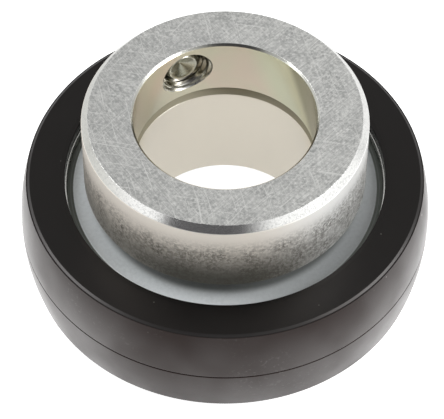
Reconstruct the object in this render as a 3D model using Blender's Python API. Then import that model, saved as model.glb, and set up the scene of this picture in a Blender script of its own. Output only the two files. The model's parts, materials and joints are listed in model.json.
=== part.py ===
"""A radial insert ball bearing with a rubber interliner and an eccentric locking collar.

Lengths are in metres and +Z is up. The origin is on the bearing's axis, in the lower face of the rubber
ring, and the collar is at the upper end.
"""

import math

import bmesh
import bpy
from mathutils import Matrix, Vector

# Balls and raceways
BORE_DIAMETER = 0.035
INNER_SHOULDER_WALL = 0.00595
BALL_DIAMETER = 0.0111125
BALL_COUNT = 9
GROOVE_CONFORMITY = 0.52
INNER_GROOVE_DEPTH = 0.00226
OUTER_GROOVE_DEPTH = 0.0020
OUTER_GROOVE_WALL = 0.0036
RACE_CLEARANCE = 0.0001

# Cage
CAGE_WALL = 0.0040
CAGE_BACK = 0.0006
CAGE_HORN_HEIGHT = 0.0030
CAGE_HORN_THICKNESS = 0.0015
CAGE_SLOT_DEPTH = 0.0050
CAGE_END_ROOM = 0.0003
POCKET_CLEARANCE = 0.00025

# Seals
SHEET = 0.0004
LIP_WEB = 0.0005
FACE_GAP = 0.0001
SEAL_SET_BACK = 0.0013
WASHER_FLANGE = 0.0014
WASHER_BORE_GAP = 0.00085
LIP_CLEARANCE = 0.0001
LIP_CONTACT_WIDTH = 0.00035
INNER_WASHER_BORE_STEP = 0.0005
LIP_EDGE_ROOM = 0.0003

# Outer ring
SEAL_RECESS_DEPTH = 0.0011
RECESS_UNDERCUT = 0.00035
OUTER_CHAMFER = 0.0010

# Inner ring and its eccentric journal
INNER_EXTENSION = 0.0064
BORE_CHAMFER = 0.0014
SHOULDER_CHAMFER = 0.0005
ECCENTRICITY = 0.0008
JOURNAL_STEP = 0.00045
JOURNAL_CHAMFER = 0.0004

# Rubber interliner
RUBBER_WALL = 0.0043
RUBBER_LIP = 0.0016
RUBBER_CROWN_RADIUS = 0.0440
RUBBER_EDGE_FILLET = 0.0008
RUBBER_INNER_BEVEL = 0.00015
RIM_SHOWN = 0.0003

# Locking collar
COLLAR_CLEARANCE = 0.0003
COLLAR_WALL = 0.0042
COLLAR_RECESS_DEPTH = 0.0040
COLLAR_BORE_LENGTH = 0.0133
COLLAR_BORE_CLEARANCE = 0.00007
COLLAR_SHOULDER_GAP = 0.0008
COLLAR_TOP_CHAMFER_WIDTH = 0.00125
COLLAR_TOP_CHAMFER_HEIGHT = 0.00155
COLLAR_EDGE_CHAMFER = 0.0003
COLLAR_BORE_CHAMFER = 0.0006
COLLAR_FLOOR_CHAMFER = 0.0004
DRIFT_HOLE_DIAMETER = 0.0060
DRIFT_HOLE_DEPTH = 0.0032
DRIFT_HOLE_AZIMUTH = math.radians(26.0)

# Grub screw and its tapped hole
SCREW_DIAMETER = 0.0080
SCREW_LENGTH = 0.0080
SCREW_CLEARANCE = 0.00008
SCREW_DROP = 0.00635
SCREW_AZIMUTH = math.radians(116.0)
SCREW_SET_BACK = 0.0006
SCREW_CUP_DIAMETER = 0.0056
SCREW_END_CHAMFER = 0.0007
SOCKET_ACROSS_FLATS = 0.0040
SOCKET_DEPTH = 0.0035
HOLE_CHAMFER = 0.0003
HOLE_MOUTH_WIDTH = 0.0008
HOLE_MOUTH_DEPTH = 0.0013

# Gap that a fixed piece keeps to its seat, and the length by which a cutter overshoots
SEAT_GAP = 0.0003
CUTTER_OVERSHOOT = 0.0016

# Fineness of the round forms
RING_SEGMENTS = 56
SEAL_SEGMENTS = 40
SCREW_SEGMENTS = 32
CAGE_SEGMENTS_PER_BALL = 5
BALL_SEGMENTS = 16
BALL_RINGS = 10
POCKET_SEGMENTS = 16
POCKET_RINGS = 10
GROOVE_CHORDS = 5
CROWN_CHORDS = 4
FILLET_CHORDS = 2
SLOT_ARC_CHORDS = 5

# Radii worked out from the bore outwards
BORE_RADIUS = BORE_DIAMETER / 2
BALL_RADIUS = BALL_DIAMETER / 2
SHOULDER_RADIUS = BORE_RADIUS + INNER_SHOULDER_WALL
PITCH_RADIUS = SHOULDER_RADIUS - INNER_GROOVE_DEPTH + BALL_RADIUS
LAND_RADIUS = PITCH_RADIUS + BALL_RADIUS - OUTER_GROOVE_DEPTH
GROOVE_RADIUS = GROOVE_CONFORMITY * BALL_DIAMETER
OUTER_RADIUS = PITCH_RADIUS + BALL_RADIUS + RACE_CLEARANCE + OUTER_GROOVE_WALL
RECESS_RADIUS = LAND_RADIUS + SEAL_RECESS_DEPTH
MOUTH_RADIUS = RECESS_RADIUS - RECESS_UNDERCUT
WASHER_RADIUS = RECESS_RADIUS - SEAT_GAP
WASHER_FLAT_RADIUS = WASHER_RADIUS - WASHER_FLANGE
WASHER_BORE_RADIUS = SHOULDER_RADIUS + WASHER_BORE_GAP
JOURNAL_RADIUS = SHOULDER_RADIUS - ECCENTRICITY - JOURNAL_STEP
COLLAR_RECESS_RADIUS = JOURNAL_RADIUS + COLLAR_CLEARANCE
COLLAR_RADIUS = COLLAR_RECESS_RADIUS + ECCENTRICITY + COLLAR_WALL
COLLAR_BORE_RADIUS = BORE_RADIUS + COLLAR_BORE_CLEARANCE
POCKET_RADIUS = BALL_RADIUS + POCKET_CLEARANCE
SCREW_RADIUS = SCREW_DIAMETER / 2
SCREW_HOLE_RADIUS = SCREW_RADIUS + SCREW_CLEARANCE

# Heights above the plane through the ball centres
CAGE_BACK_HEIGHT = POCKET_RADIUS + CAGE_BACK
SEAL_STACK = SHEET + FACE_GAP + LIP_WEB + FACE_GAP + SHEET
SEAL_FACE = CAGE_BACK_HEIGHT + CAGE_END_ROOM + SEAL_STACK
RING_HALF_WIDTH = SEAL_FACE + SEAL_SET_BACK
RECESS_FLOOR = SEAL_FACE - SEAL_STACK - FACE_GAP
RUBBER_HALF_WIDTH = RING_HALF_WIDTH + SEAT_GAP + RUBBER_LIP
JOURNAL_END = RING_HALF_WIDTH + INNER_EXTENSION
COLLAR_FLOOR = JOURNAL_END + SEAT_GAP
JOURNAL_START = COLLAR_FLOOR - COLLAR_RECESS_DEPTH - COLLAR_SHOULDER_GAP

# Colours as linear red, green and blue
BLACK_RUBBER = (0.018, 0.018, 0.019)
SEAL_RUBBER = (0.030, 0.030, 0.032)
BEARING_STEEL = (0.50, 0.50, 0.50)
ZINC = (0.56, 0.57, 0.58)
ZINC_SHEET = (0.42, 0.45, 0.49)
POLYAMIDE = (0.62, 0.50, 0.32)
BLACK_STEEL = (0.16, 0.15, 0.14)


def clear_scene():
    """Remove every object that the scene starts with."""
    for item in list(bpy.data.objects):
        bpy.data.objects.remove(item, do_unlink=True)


def add_object(name, mesh, colour, roughness, metallic, parent=None, location=(0.0, 0.0, 0.0)):
    """Link a mesh as a named object with a Principled material of its own."""
    if not mesh.materials:
        finish = bpy.data.materials.new(mesh.name + "_finish")
        finish.use_nodes = True
        shader = finish.node_tree.nodes["Principled BSDF"]
        shader.inputs["Base Color"].default_value = (*colour, 1.0)
        shader.inputs["Roughness"].default_value = roughness
        shader.inputs["Metallic"].default_value = metallic
        mesh.materials.append(finish)
    part = bpy.data.objects.new(name, mesh)
    bpy.context.collection.objects.link(part)
    part.parent = parent
    part.location = location
    return part


def mesh_from(bm, name):
    """Turn a closed bmesh into a smooth-shaded mesh with outward faces."""
    bmesh.ops.recalc_face_normals(bm, faces=bm.faces)
    mesh = bpy.data.meshes.new(name)
    bm.to_mesh(mesh)
    bm.free()
    mesh.shade_smooth()
    mesh.set_sharp_from_angle(angle=math.radians(30.0))
    return mesh


def turned_mesh(name, profile, segments):
    """Spin a closed profile about Z.

    A profile point is (radius, height) or (radius, height, shift), where shift moves that point's whole
    circle along X, as turning it in an offset chuck does.
    """
    bm = bmesh.new()
    shift_layer = bm.verts.layers.float.new("shift")
    verts = []
    for radius, height, *shift in profile:
        vert = bm.verts.new((radius, 0.0, height))
        vert[shift_layer] = sum(shift)
        verts.append(vert)
    edges = [bm.edges.new((verts[index - 1], verts[index])) for index in range(len(verts))]
    bmesh.ops.spin(
        bm,
        geom=verts + edges,
        cent=(0.0, 0.0, 0.0),
        axis=(0.0, 0.0, 1.0),
        angle=2 * math.pi,
        steps=segments,
        use_merge=True,
    )
    bmesh.ops.remove_doubles(bm, verts=bm.verts, dist=1e-7)
    for vert in bm.verts:
        vert.co.x += vert[shift_layer]
    return mesh_from(bm, name)


def mirrored(points):
    """The same points below the plane of the balls, in the opposite order."""
    return [(radius, -height) for radius, height in reversed(points)]


def groove_points(centre_radius, land_radius, side):
    """Points of a raceway groove from its lower to its upper edge.

    The groove is an arc about (centre_radius, 0), bulging outwards for side 1 and inwards for side -1. Its
    chords lie outside the true arc, so that a ball keeps its clearance to them.
    """
    reach = abs(land_radius - centre_radius)
    half_chord_angle = math.acos(reach / GROOVE_RADIUS) / GROOVE_CHORDS
    corner_radius = GROOVE_RADIUS / math.cos(half_chord_angle)
    half_angle = math.acos(reach / corner_radius)
    points = []
    for step in range(GROOVE_CHORDS + 1):
        angle = half_angle * (2 * step / GROOVE_CHORDS - 1)
        radius = centre_radius + side * corner_radius * math.cos(angle)
        points.append((radius, corner_radius * math.sin(angle)))
    return points


def add_cutter(target, name, mesh):
    """Cut a mesh, placed in the target's own frame, out of the target."""
    cutter = bpy.data.objects.new(name, mesh)
    bpy.context.collection.objects.link(cutter)
    cutter.parent = target
    cutter.hide_render = True
    cutter.display_type = "WIRE"
    cut = target.modifiers.new(name, "BOOLEAN")
    cut.operation = "DIFFERENCE"
    cut.solver = "EXACT"
    cut.object = cutter
    return cutter


def radial_frame(azimuth, height=0.0):
    """A frame whose +Z points outwards from the bearing's axis at the given azimuth and height."""
    return (
        Matrix.Translation((0.0, 0.0, height))
        @ Matrix.Rotation(azimuth, 4, "Z")
        @ Matrix.Rotation(math.pi / 2, 4, "Y")
    )


def make_outer_ring():
    """Outer ring: a deep raceway groove, two lands, and an undercut seal recess at each end."""
    mouth_end = SEAL_FACE - SEAT_GAP
    upper = [
        (OUTER_RADIUS, RING_HALF_WIDTH - OUTER_CHAMFER),
        (OUTER_RADIUS - OUTER_CHAMFER, RING_HALF_WIDTH),
        (MOUTH_RADIUS, RING_HALF_WIDTH),
        (MOUTH_RADIUS, mouth_end),
        (RECESS_RADIUS, mouth_end - RECESS_UNDERCUT / 2),
        (RECESS_RADIUS, RECESS_FLOOR),
        (LAND_RADIUS, RECESS_FLOOR),
    ]
    centre_radius = PITCH_RADIUS + BALL_RADIUS + RACE_CLEARANCE - GROOVE_RADIUS
    groove = groove_points(centre_radius, LAND_RADIUS, 1)
    profile = upper + groove[::-1] + mirrored(upper)
    mesh = turned_mesh("outer_ring", profile, RING_SEGMENTS)
    location = (0.0, 0.0, RUBBER_HALF_WIDTH)
    return add_object("outer_ring", mesh, BEARING_STEEL, 0.25, 1.0, location=location)


def make_rubber_interliner(outer_ring):
    """Rubber ring: a crowned outside, and a lip that wraps each end face of the outer ring."""
    crown_centre = OUTER_RADIUS + RUBBER_WALL - RUBBER_CROWN_RADIUS
    fillet_height = RUBBER_HALF_WIDTH - RUBBER_EDGE_FILLET
    fillet_reach = RUBBER_CROWN_RADIUS - RUBBER_EDGE_FILLET
    tangent_angle = math.asin(fillet_height / fillet_reach)
    fillet_centre = crown_centre + fillet_reach * math.cos(tangent_angle)
    fillet = []
    for step in range(1, FILLET_CHORDS + 1):
        angle = tangent_angle + (math.pi / 2 - tangent_angle) * step / FILLET_CHORDS
        radius = fillet_centre + RUBBER_EDGE_FILLET * math.cos(angle)
        fillet.append((radius, fillet_height + RUBBER_EDGE_FILLET * math.sin(angle)))
    crown = []
    for step in range(CROWN_CHORDS + 1):
        angle = tangent_angle * (2 * step / CROWN_CHORDS - 1)
        radius = crown_centre + RUBBER_CROWN_RADIUS * math.cos(angle)
        crown.append((radius, RUBBER_CROWN_RADIUS * math.sin(angle)))
    lip_radius = MOUTH_RADIUS + RIM_SHOWN
    seat_height = RING_HALF_WIDTH + SEAT_GAP
    inside = [
        (lip_radius + RUBBER_INNER_BEVEL, RUBBER_HALF_WIDTH),
        (lip_radius, RUBBER_HALF_WIDTH - RUBBER_INNER_BEVEL),
        (lip_radius, seat_height),
        (OUTER_RADIUS + SEAT_GAP, seat_height),
    ]
    upper = fillet + inside
    profile = crown + upper + mirrored(upper)
    mesh = turned_mesh("rubber_interliner", profile, RING_SEGMENTS)
    return add_object("rubber_interliner", mesh, BLACK_RUBBER, 0.55, 0.0, outer_ring)


def make_inner_ring(outer_ring):
    """Inner ring: raceway groove on the shoulder, and the eccentric journal at the collar's end."""
    centre_radius = PITCH_RADIUS - BALL_RADIUS - RACE_CLEARANCE + GROOVE_RADIUS
    profile = [
        (BORE_RADIUS, BORE_CHAMFER - RING_HALF_WIDTH),
        (BORE_RADIUS + BORE_CHAMFER, -RING_HALF_WIDTH),
        (SHOULDER_RADIUS - SHOULDER_CHAMFER, -RING_HALF_WIDTH),
        (SHOULDER_RADIUS, SHOULDER_CHAMFER - RING_HALF_WIDTH),
        *groove_points(centre_radius, SHOULDER_RADIUS, -1),
        (SHOULDER_RADIUS, JOURNAL_START),
        (JOURNAL_RADIUS, JOURNAL_START, ECCENTRICITY),
        (JOURNAL_RADIUS, JOURNAL_END - JOURNAL_CHAMFER, ECCENTRICITY),
        (JOURNAL_RADIUS - JOURNAL_CHAMFER, JOURNAL_END, ECCENTRICITY),
        (BORE_RADIUS + BORE_CHAMFER, JOURNAL_END),
        (BORE_RADIUS, JOURNAL_END - BORE_CHAMFER),
    ]
    mesh = turned_mesh("inner_ring", profile, RING_SEGMENTS)
    return add_object("inner_ring", mesh, BEARING_STEEL, 0.25, 1.0, outer_ring)


def slot_cutter(bm, azimuth):
    """Add a round-bottomed slot between two pockets to a cutter's mesh.

    The slot runs through the cage wall along the radius. Its outline is a half circle with straight sides.
    """
    chord = 2 * PITCH_RADIUS * math.sin(math.pi / BALL_COUNT)
    half_width = chord / 2 - POCKET_RADIUS - CAGE_HORN_THICKNESS
    arc_height = CAGE_HORN_HEIGHT - CAGE_SLOT_DEPTH + half_width
    top = CAGE_HORN_HEIGHT + CUTTER_OVERSHOOT
    outline = [(half_width, top), (-half_width, top)]
    for step in range(SLOT_ARC_CHORDS + 1):
        angle = math.pi + math.pi * step / SLOT_ARC_CHORDS
        outline.append((half_width * math.cos(angle), arc_height + half_width * math.sin(angle)))
    start = PITCH_RADIUS - CAGE_WALL / 2 - CUTTER_OVERSHOOT
    turn = Matrix.Rotation(azimuth, 3, "Z")
    verts = [bm.verts.new(turn @ Vector((start, side, height))) for side, height in outline]
    face = bm.faces.new(verts)
    grown = bmesh.ops.extrude_face_region(bm, geom=[face])["geom"]
    moved = [item for item in grown if isinstance(item, bmesh.types.BMVert)]
    length = CAGE_WALL + 2 * CUTTER_OVERSHOOT
    bmesh.ops.translate(bm, verts=moved, vec=turn @ Vector((length, 0.0, 0.0)))


def make_cage(outer_ring):
    """Snap cage: one moulded ring with a round pocket for each ball and a pair of horns that holds it in."""
    inner = PITCH_RADIUS - CAGE_WALL / 2
    outer = PITCH_RADIUS + CAGE_WALL / 2
    profile = [
        (inner, -CAGE_BACK_HEIGHT),
        (outer, -CAGE_BACK_HEIGHT),
        (outer, CAGE_HORN_HEIGHT),
        (inner, CAGE_HORN_HEIGHT),
    ]
    segments = BALL_COUNT * CAGE_SEGMENTS_PER_BALL
    mesh = turned_mesh("ball_cage", profile, segments)
    mesh.transform(Matrix.Rotation(math.pi / segments, 4, "Z"))
    cage = add_object("ball_cage", mesh, POLYAMIDE, 0.45, 0.0, outer_ring)
    pockets = bmesh.new()
    slots = bmesh.new()
    for index in range(BALL_COUNT):
        azimuth = 2 * math.pi * index / BALL_COUNT
        pocket_frame = radial_frame(azimuth) @ Matrix.Translation((0.0, 0.0, PITCH_RADIUS))
        bmesh.ops.create_uvsphere(
            pockets,
            u_segments=POCKET_SEGMENTS,
            v_segments=POCKET_RINGS,
            radius=POCKET_RADIUS,
            matrix=pocket_frame @ Matrix.Rotation(math.pi / POCKET_SEGMENTS, 4, "Z"),
        )
        slot_cutter(slots, azimuth + math.pi / BALL_COUNT)
    add_cutter(cage, "pocket_cutter", mesh_from(pockets, "pocket_cutter"))
    add_cutter(cage, "slot_cutter", mesh_from(slots, "slot_cutter"))
    return cage


def make_balls(cage):
    """The balls: one mesh, shared by one object for each pocket."""
    bm = bmesh.new()
    bmesh.ops.create_uvsphere(bm, u_segments=BALL_SEGMENTS, v_segments=BALL_RINGS, radius=BALL_RADIUS)
    mesh = mesh_from(bm, "ball")
    mesh.shade_smooth()
    for index in range(BALL_COUNT):
        azimuth = 2 * math.pi * index / BALL_COUNT
        place = (PITCH_RADIUS * math.cos(azimuth), PITCH_RADIUS * math.sin(azimuth), 0.0)
        add_object(f"ball_{index + 1}", mesh, BEARING_STEEL, 0.08, 1.0, cage, place)


def make_seal(outer_ring, end, points_of):
    """One end's seal: a flanged outer washer, a rubber lip and a flat inner washer, clamped in the recess.

    Heights are measured down from the outer washer's face, and points_of puts them at the ring's end.
    """
    web_top = SHEET + FACE_GAP
    web_back = web_top + LIP_WEB
    inner_top = web_back + FACE_GAP
    inner_back = inner_top + SHEET
    outer_washer = [
        (WASHER_BORE_RADIUS, 0.0),
        (WASHER_FLAT_RADIUS, 0.0),
        (WASHER_RADIUS, web_back - SHEET),
        (WASHER_RADIUS, web_back),
        (WASHER_FLAT_RADIUS - FACE_GAP, SHEET),
        (WASHER_BORE_RADIUS, SHEET),
    ]
    lip_radius = SHOULDER_RADIUS + LIP_CLEARANCE
    lip = [
        (WASHER_FLAT_RADIUS - LIP_EDGE_ROOM, web_top),
        (WASHER_FLAT_RADIUS - LIP_EDGE_ROOM, web_back),
        (WASHER_BORE_RADIUS, web_back),
        (lip_radius, web_top),
        (lip_radius, web_top - LIP_CONTACT_WIDTH),
        ((lip_radius + WASHER_BORE_RADIUS) / 2, web_top),
    ]
    inner_bore = WASHER_BORE_RADIUS + INNER_WASHER_BORE_STEP
    inner_washer = [
        (inner_bore, inner_top),
        (WASHER_RADIUS, inner_top),
        (WASHER_RADIUS, inner_back),
        (inner_bore, inner_back),
    ]
    pieces = (
        ("outer_washer", outer_washer, ZINC_SHEET, 0.35, 1.0),
        ("lip", lip, SEAL_RUBBER, 0.6, 0.0),
        ("inner_washer", inner_washer, ZINC_SHEET, 0.35, 1.0),
    )
    for piece, profile, colour, roughness, metallic in pieces:
        name = f"{end}_seal_{piece}"
        mesh = turned_mesh(name, points_of(profile), SEAL_SEGMENTS)
        add_object(name, mesh, colour, roughness, metallic, outer_ring)


def upper_end(profile):
    """Place a seal profile in the upper recess."""
    return [(radius, SEAL_FACE - depth) for radius, depth in profile]


def lower_end(profile):
    """Place a seal profile in the lower recess."""
    return [(radius, depth - SEAL_FACE) for radius, depth in profile]


def make_collar(inner_ring):
    """Locking collar: an eccentric recess over the journal, a tapped radial hole and a blind drift hole."""
    bottom = -COLLAR_RECESS_DEPTH
    top = COLLAR_BORE_LENGTH
    profile = [
        (COLLAR_RADIUS - COLLAR_EDGE_CHAMFER, bottom),
        (COLLAR_RADIUS, bottom + COLLAR_EDGE_CHAMFER),
        (COLLAR_RADIUS, top - COLLAR_TOP_CHAMFER_HEIGHT),
        (COLLAR_RADIUS - COLLAR_TOP_CHAMFER_WIDTH, top),
        (COLLAR_BORE_RADIUS + COLLAR_BORE_CHAMFER, top),
        (COLLAR_BORE_RADIUS, top - COLLAR_BORE_CHAMFER),
        (COLLAR_BORE_RADIUS, COLLAR_FLOOR_CHAMFER),
        (COLLAR_BORE_RADIUS + COLLAR_FLOOR_CHAMFER, 0.0),
        (COLLAR_RECESS_RADIUS, 0.0, ECCENTRICITY),
        (COLLAR_RECESS_RADIUS, bottom + COLLAR_EDGE_CHAMFER, ECCENTRICITY),
        (COLLAR_RECESS_RADIUS + COLLAR_EDGE_CHAMFER, bottom, ECCENTRICITY),
    ]
    mesh = turned_mesh("locking_collar", profile, RING_SEGMENTS)
    location = (0.0, 0.0, COLLAR_FLOOR)
    collar = add_object("locking_collar", mesh, ZINC, 0.3, 1.0, inner_ring, location)
    flare = HOLE_CHAMFER + CUTTER_OVERSHOOT
    mouth_flare = HOLE_MOUTH_WIDTH * (1 + CUTTER_OVERSHOOT / HOLE_MOUTH_DEPTH)
    tapped_hole = [
        (0.0, COLLAR_BORE_RADIUS - CUTTER_OVERSHOOT),
        (SCREW_HOLE_RADIUS + mouth_flare, COLLAR_BORE_RADIUS - CUTTER_OVERSHOOT),
        (SCREW_HOLE_RADIUS, COLLAR_BORE_RADIUS + HOLE_MOUTH_DEPTH),
        (SCREW_HOLE_RADIUS, COLLAR_RADIUS - HOLE_CHAMFER),
        (SCREW_HOLE_RADIUS + flare, COLLAR_RADIUS + CUTTER_OVERSHOOT),
        (0.0, COLLAR_RADIUS + CUTTER_OVERSHOOT),
    ]
    drift_radius = DRIFT_HOLE_DIAMETER / 2
    drill_point = drift_radius * math.tan(math.radians(31.0))
    drift_hole = [
        (0.0, COLLAR_RADIUS - DRIFT_HOLE_DEPTH - drill_point),
        (drift_radius, COLLAR_RADIUS - DRIFT_HOLE_DEPTH),
        (drift_radius, COLLAR_RADIUS + CUTTER_OVERSHOOT),
        (0.0, COLLAR_RADIUS + CUTTER_OVERSHOOT),
    ]
    holes = (
        ("tapped_hole_cutter", tapped_hole, SCREW_AZIMUTH),
        ("drift_hole_cutter", drift_hole, DRIFT_HOLE_AZIMUTH),
    )
    for name, outline, azimuth in holes:
        hole_mesh = turned_mesh(name, outline, SCREW_SEGMENTS)
        hole_mesh.transform(radial_frame(azimuth, COLLAR_BORE_LENGTH - SCREW_DROP))
        add_cutter(collar, name, hole_mesh)
    return collar


def make_grub_screw(collar):
    """Grub screw with a cup point inwards and a hexagon socket outwards, its origin at mid length."""
    half = SCREW_LENGTH / 2
    cup_radius = SCREW_CUP_DIAMETER / 2
    cup_depth = cup_radius * math.tan(math.radians(31.0))
    point_height = SCREW_RADIUS - cup_radius
    profile = [
        (0.0, cup_depth - half),
        (cup_radius, -half),
        (SCREW_RADIUS, point_height - half),
        (SCREW_RADIUS, half - SCREW_END_CHAMFER),
        (SCREW_RADIUS - SCREW_END_CHAMFER, half),
        (0.0, half),
    ]
    mesh = turned_mesh("grub_screw", profile, SCREW_SEGMENTS)
    screw = add_object("grub_screw", mesh, BLACK_STEEL, 0.35, 1.0, collar)
    middle = COLLAR_RADIUS - SCREW_SET_BACK - half
    place = radial_frame(SCREW_AZIMUTH, COLLAR_BORE_LENGTH - SCREW_DROP)
    screw.matrix_local = place @ Matrix.Translation((0.0, 0.0, middle))
    socket = bmesh.new()
    socket_radius = SOCKET_ACROSS_FLATS / 2 / math.cos(math.pi / 6)
    socket_length = SOCKET_DEPTH + CUTTER_OVERSHOOT
    bmesh.ops.create_cone(
        socket,
        cap_ends=True,
        segments=6,
        radius1=socket_radius,
        radius2=socket_radius,
        depth=socket_length,
        matrix=Matrix.Translation((0.0, 0.0, half - SOCKET_DEPTH + socket_length / 2)),
    )
    add_cutter(screw, "socket_cutter", mesh_from(socket, "socket_cutter"))
    return screw


def main():
    """Build the bearing from the outer ring inwards, then the collar and its screw."""
    clear_scene()
    outer_ring = make_outer_ring()
    make_rubber_interliner(outer_ring)
    make_seal(outer_ring, "upper", upper_end)
    make_seal(outer_ring, "lower", lower_end)
    cage = make_cage(outer_ring)
    make_balls(cage)
    inner_ring = make_inner_ring(outer_ring)
    collar = make_collar(inner_ring)
    make_grub_screw(collar)


main()
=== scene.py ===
import json
import math
from functools import cached_property

import bmesh
import bpy
import numpy as np
from bpy.props import FloatProperty, FloatVectorProperty, IntProperty, PointerProperty
from bpy.types import Operator, Panel, PropertyGroup
from mathutils import Matrix, Vector

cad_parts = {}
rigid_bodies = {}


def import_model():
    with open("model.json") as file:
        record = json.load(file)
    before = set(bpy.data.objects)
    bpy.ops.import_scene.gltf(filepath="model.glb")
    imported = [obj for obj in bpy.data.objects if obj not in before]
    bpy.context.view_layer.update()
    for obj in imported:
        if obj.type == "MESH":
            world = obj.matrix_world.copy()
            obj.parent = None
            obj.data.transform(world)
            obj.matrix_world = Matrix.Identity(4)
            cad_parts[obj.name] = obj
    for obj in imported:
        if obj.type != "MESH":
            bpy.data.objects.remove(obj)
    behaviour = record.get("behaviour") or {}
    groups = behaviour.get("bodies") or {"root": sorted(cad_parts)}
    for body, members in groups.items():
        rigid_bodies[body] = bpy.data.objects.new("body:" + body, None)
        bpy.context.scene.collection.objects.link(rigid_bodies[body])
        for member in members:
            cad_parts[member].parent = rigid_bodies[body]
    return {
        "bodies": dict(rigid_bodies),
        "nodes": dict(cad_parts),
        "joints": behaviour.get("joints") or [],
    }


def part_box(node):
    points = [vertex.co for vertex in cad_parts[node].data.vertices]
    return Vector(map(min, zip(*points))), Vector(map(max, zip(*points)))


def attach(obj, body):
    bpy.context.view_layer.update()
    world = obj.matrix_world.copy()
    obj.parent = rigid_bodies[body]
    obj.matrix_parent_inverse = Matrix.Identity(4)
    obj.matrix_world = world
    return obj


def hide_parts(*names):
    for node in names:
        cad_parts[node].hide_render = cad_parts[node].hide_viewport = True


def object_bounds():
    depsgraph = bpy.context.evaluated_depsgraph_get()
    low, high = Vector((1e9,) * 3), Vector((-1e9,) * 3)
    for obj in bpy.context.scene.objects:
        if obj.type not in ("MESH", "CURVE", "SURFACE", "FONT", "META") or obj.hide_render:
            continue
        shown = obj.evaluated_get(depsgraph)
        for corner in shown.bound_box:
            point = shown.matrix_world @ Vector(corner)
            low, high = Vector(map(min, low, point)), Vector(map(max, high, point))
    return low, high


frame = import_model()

bl_info = {
    "name": "Insert bearing dressing",
    "version": (1, 0, 0),
    "blender": (4, 5, 0),
    "location": "View3D > Sidebar > Bearing",
    "description": "Fine surfaces and finishes for a rubber-mounted insert bearing and its locking collar",
    "category": "Object",
}

# The frame's own box and the boxes of its nodes at rest
CAD_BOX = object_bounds()
RUBBER_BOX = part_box("rubber_interliner")
OUTER_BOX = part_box("outer_ring")
INNER_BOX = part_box("inner_ring")
COLLAR_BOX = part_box("locking_collar")
SCREW_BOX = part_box("grub_screw")
BALL_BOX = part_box("ball_1")
UPPER_WASHER_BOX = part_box("upper_seal_outer_washer")
UPPER_LIP_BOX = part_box("upper_seal_lip")
UPPER_INNER_WASHER_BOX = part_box("upper_seal_inner_washer")

# Places read from those boxes: a turned piece reaches its true radius along Y
RACE_HEIGHT = (OUTER_BOX[0].z + OUTER_BOX[1].z) / 2
OUTER_RADIUS = OUTER_BOX[1].y
RING_HALF_WIDTH = (OUTER_BOX[1].z - OUTER_BOX[0].z) / 2
RUBBER_RADIUS = RUBBER_BOX[1].y
RUBBER_HALF_WIDTH = (RUBBER_BOX[1].z - RUBBER_BOX[0].z) / 2
SHOULDER_RADIUS = INNER_BOX[1].y
INNER_END = INNER_BOX[1].z
BALL_RADIUS = (BALL_BOX[1].z - BALL_BOX[0].z) / 2
PITCH_RADIUS = (BALL_BOX[1].x + BALL_BOX[0].x) / 2
WASHER_RADIUS = UPPER_WASHER_BOX[1].y
SEAL_FACE = UPPER_WASHER_BOX[1].z - RACE_HEIGHT
COLLAR_RADIUS = COLLAR_BOX[1].y
COLLAR_BOTTOM = COLLAR_BOX[0].z
COLLAR_TOP = COLLAR_BOX[1].z
HOLE_HEIGHT = (SCREW_BOX[0].z + SCREW_BOX[1].z) / 2
SCREW_RADIUS = (SCREW_BOX[1].z - SCREW_BOX[0].z) / 2
SCREW_SLIDE = next(joint for joint in frame["joints"] if joint["name"] == "grub_screw_travel")
SCREW_AZIMUTH = math.atan2(SCREW_SLIDE["axis"][1], SCREW_SLIDE["axis"][0])
SCREW_INWARD_TRAVEL = -SCREW_SLIDE["range_m"][0]
BALL_COUNT = sum(name.startswith("ball_body_") for name in frame["bodies"])

# A grid's rows beside an edge's arc: their reach, at most a share of the edge, the nearer row's share of
# that reach, and its wear
SUPPORT_REACH = 0.00012
SUPPORT_SHARE = 0.2
NEAR_SUPPORT = 0.3
NEAR_WEAR = 0.4
# A fine edge's rounding as a share of a machined edge's
FINE_EDGE = 0.6
# How evenly the crown's rows lie, from 0, gathered at the parting line, to 1
LINE_EVENNESS = 0.26
# The camera's sensor in millimetres, and its clipping distances in metres
SENSOR_WIDTH = 36.0
CLIPPING = (0.01, 20.0)
# Rounding of the rubber's slope at its mouth
SLOPE_ROUNDING = 0.0004
# A thread's flats and slopes, as shares of half its pitch
THREAD_FLAT = 0.14
THREAD_SLOPE = 0.72
# Depth of the tapped hole's thread in the mouth, as a share of the whole depth
MOUTH_GROOVES = 0.35
# Where that thread fades at the hole's inner and outer ends, as shares of the pitch
FADE_IN = 0.4
FADE_OUT = 0.5
# How rubbed a thread's crest is
THREAD_WEAR = 0.7
# Rounds in which a hole's rim settles on a round wall
SETTLING_ROUNDS = 30
# Widths of small rims: at the drift hole's mouth and floor, round the screw's cup and at its socket
DRIFT_LIP = 0.0001
FLOOR_LEAD = 0.0002
CUP_RIM = 0.00012
SOCKET_LEAD = 0.00015
# Grid rows over the screw's cup
CUP_ROWS = 9
# Points closer than this are sewn, and faces that meet at a greater angle have a sharp edge
SEWING_DISTANCE = 2e-7
CREASE = math.radians(35.0)
# Lengths closer than this are the same
SAME = 1e-9


def length(name, default, description):
    """A size in metres."""
    return FloatProperty(name=name, description=description, default=default, precision=6, unit="LENGTH")


def turn(name, degrees, description):
    """An angle, written here in degrees."""
    default = math.radians(degrees)
    return FloatProperty(name=name, description=description, default=default, subtype="ANGLE")


def amount(name, default, description):
    """A plain number without a unit."""
    return FloatProperty(name=name, description=description, default=default)


def count(name, default, description):
    """A whole number."""
    return IntProperty(name=name, description=description, default=default, min=3)


def tint(name, default, description):
    """A colour in linear red, green and blue."""
    return FloatVectorProperty(
        name=name, description=description, default=default, size=3, subtype="COLOR", min=0.0, max=1.0
    )


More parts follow.
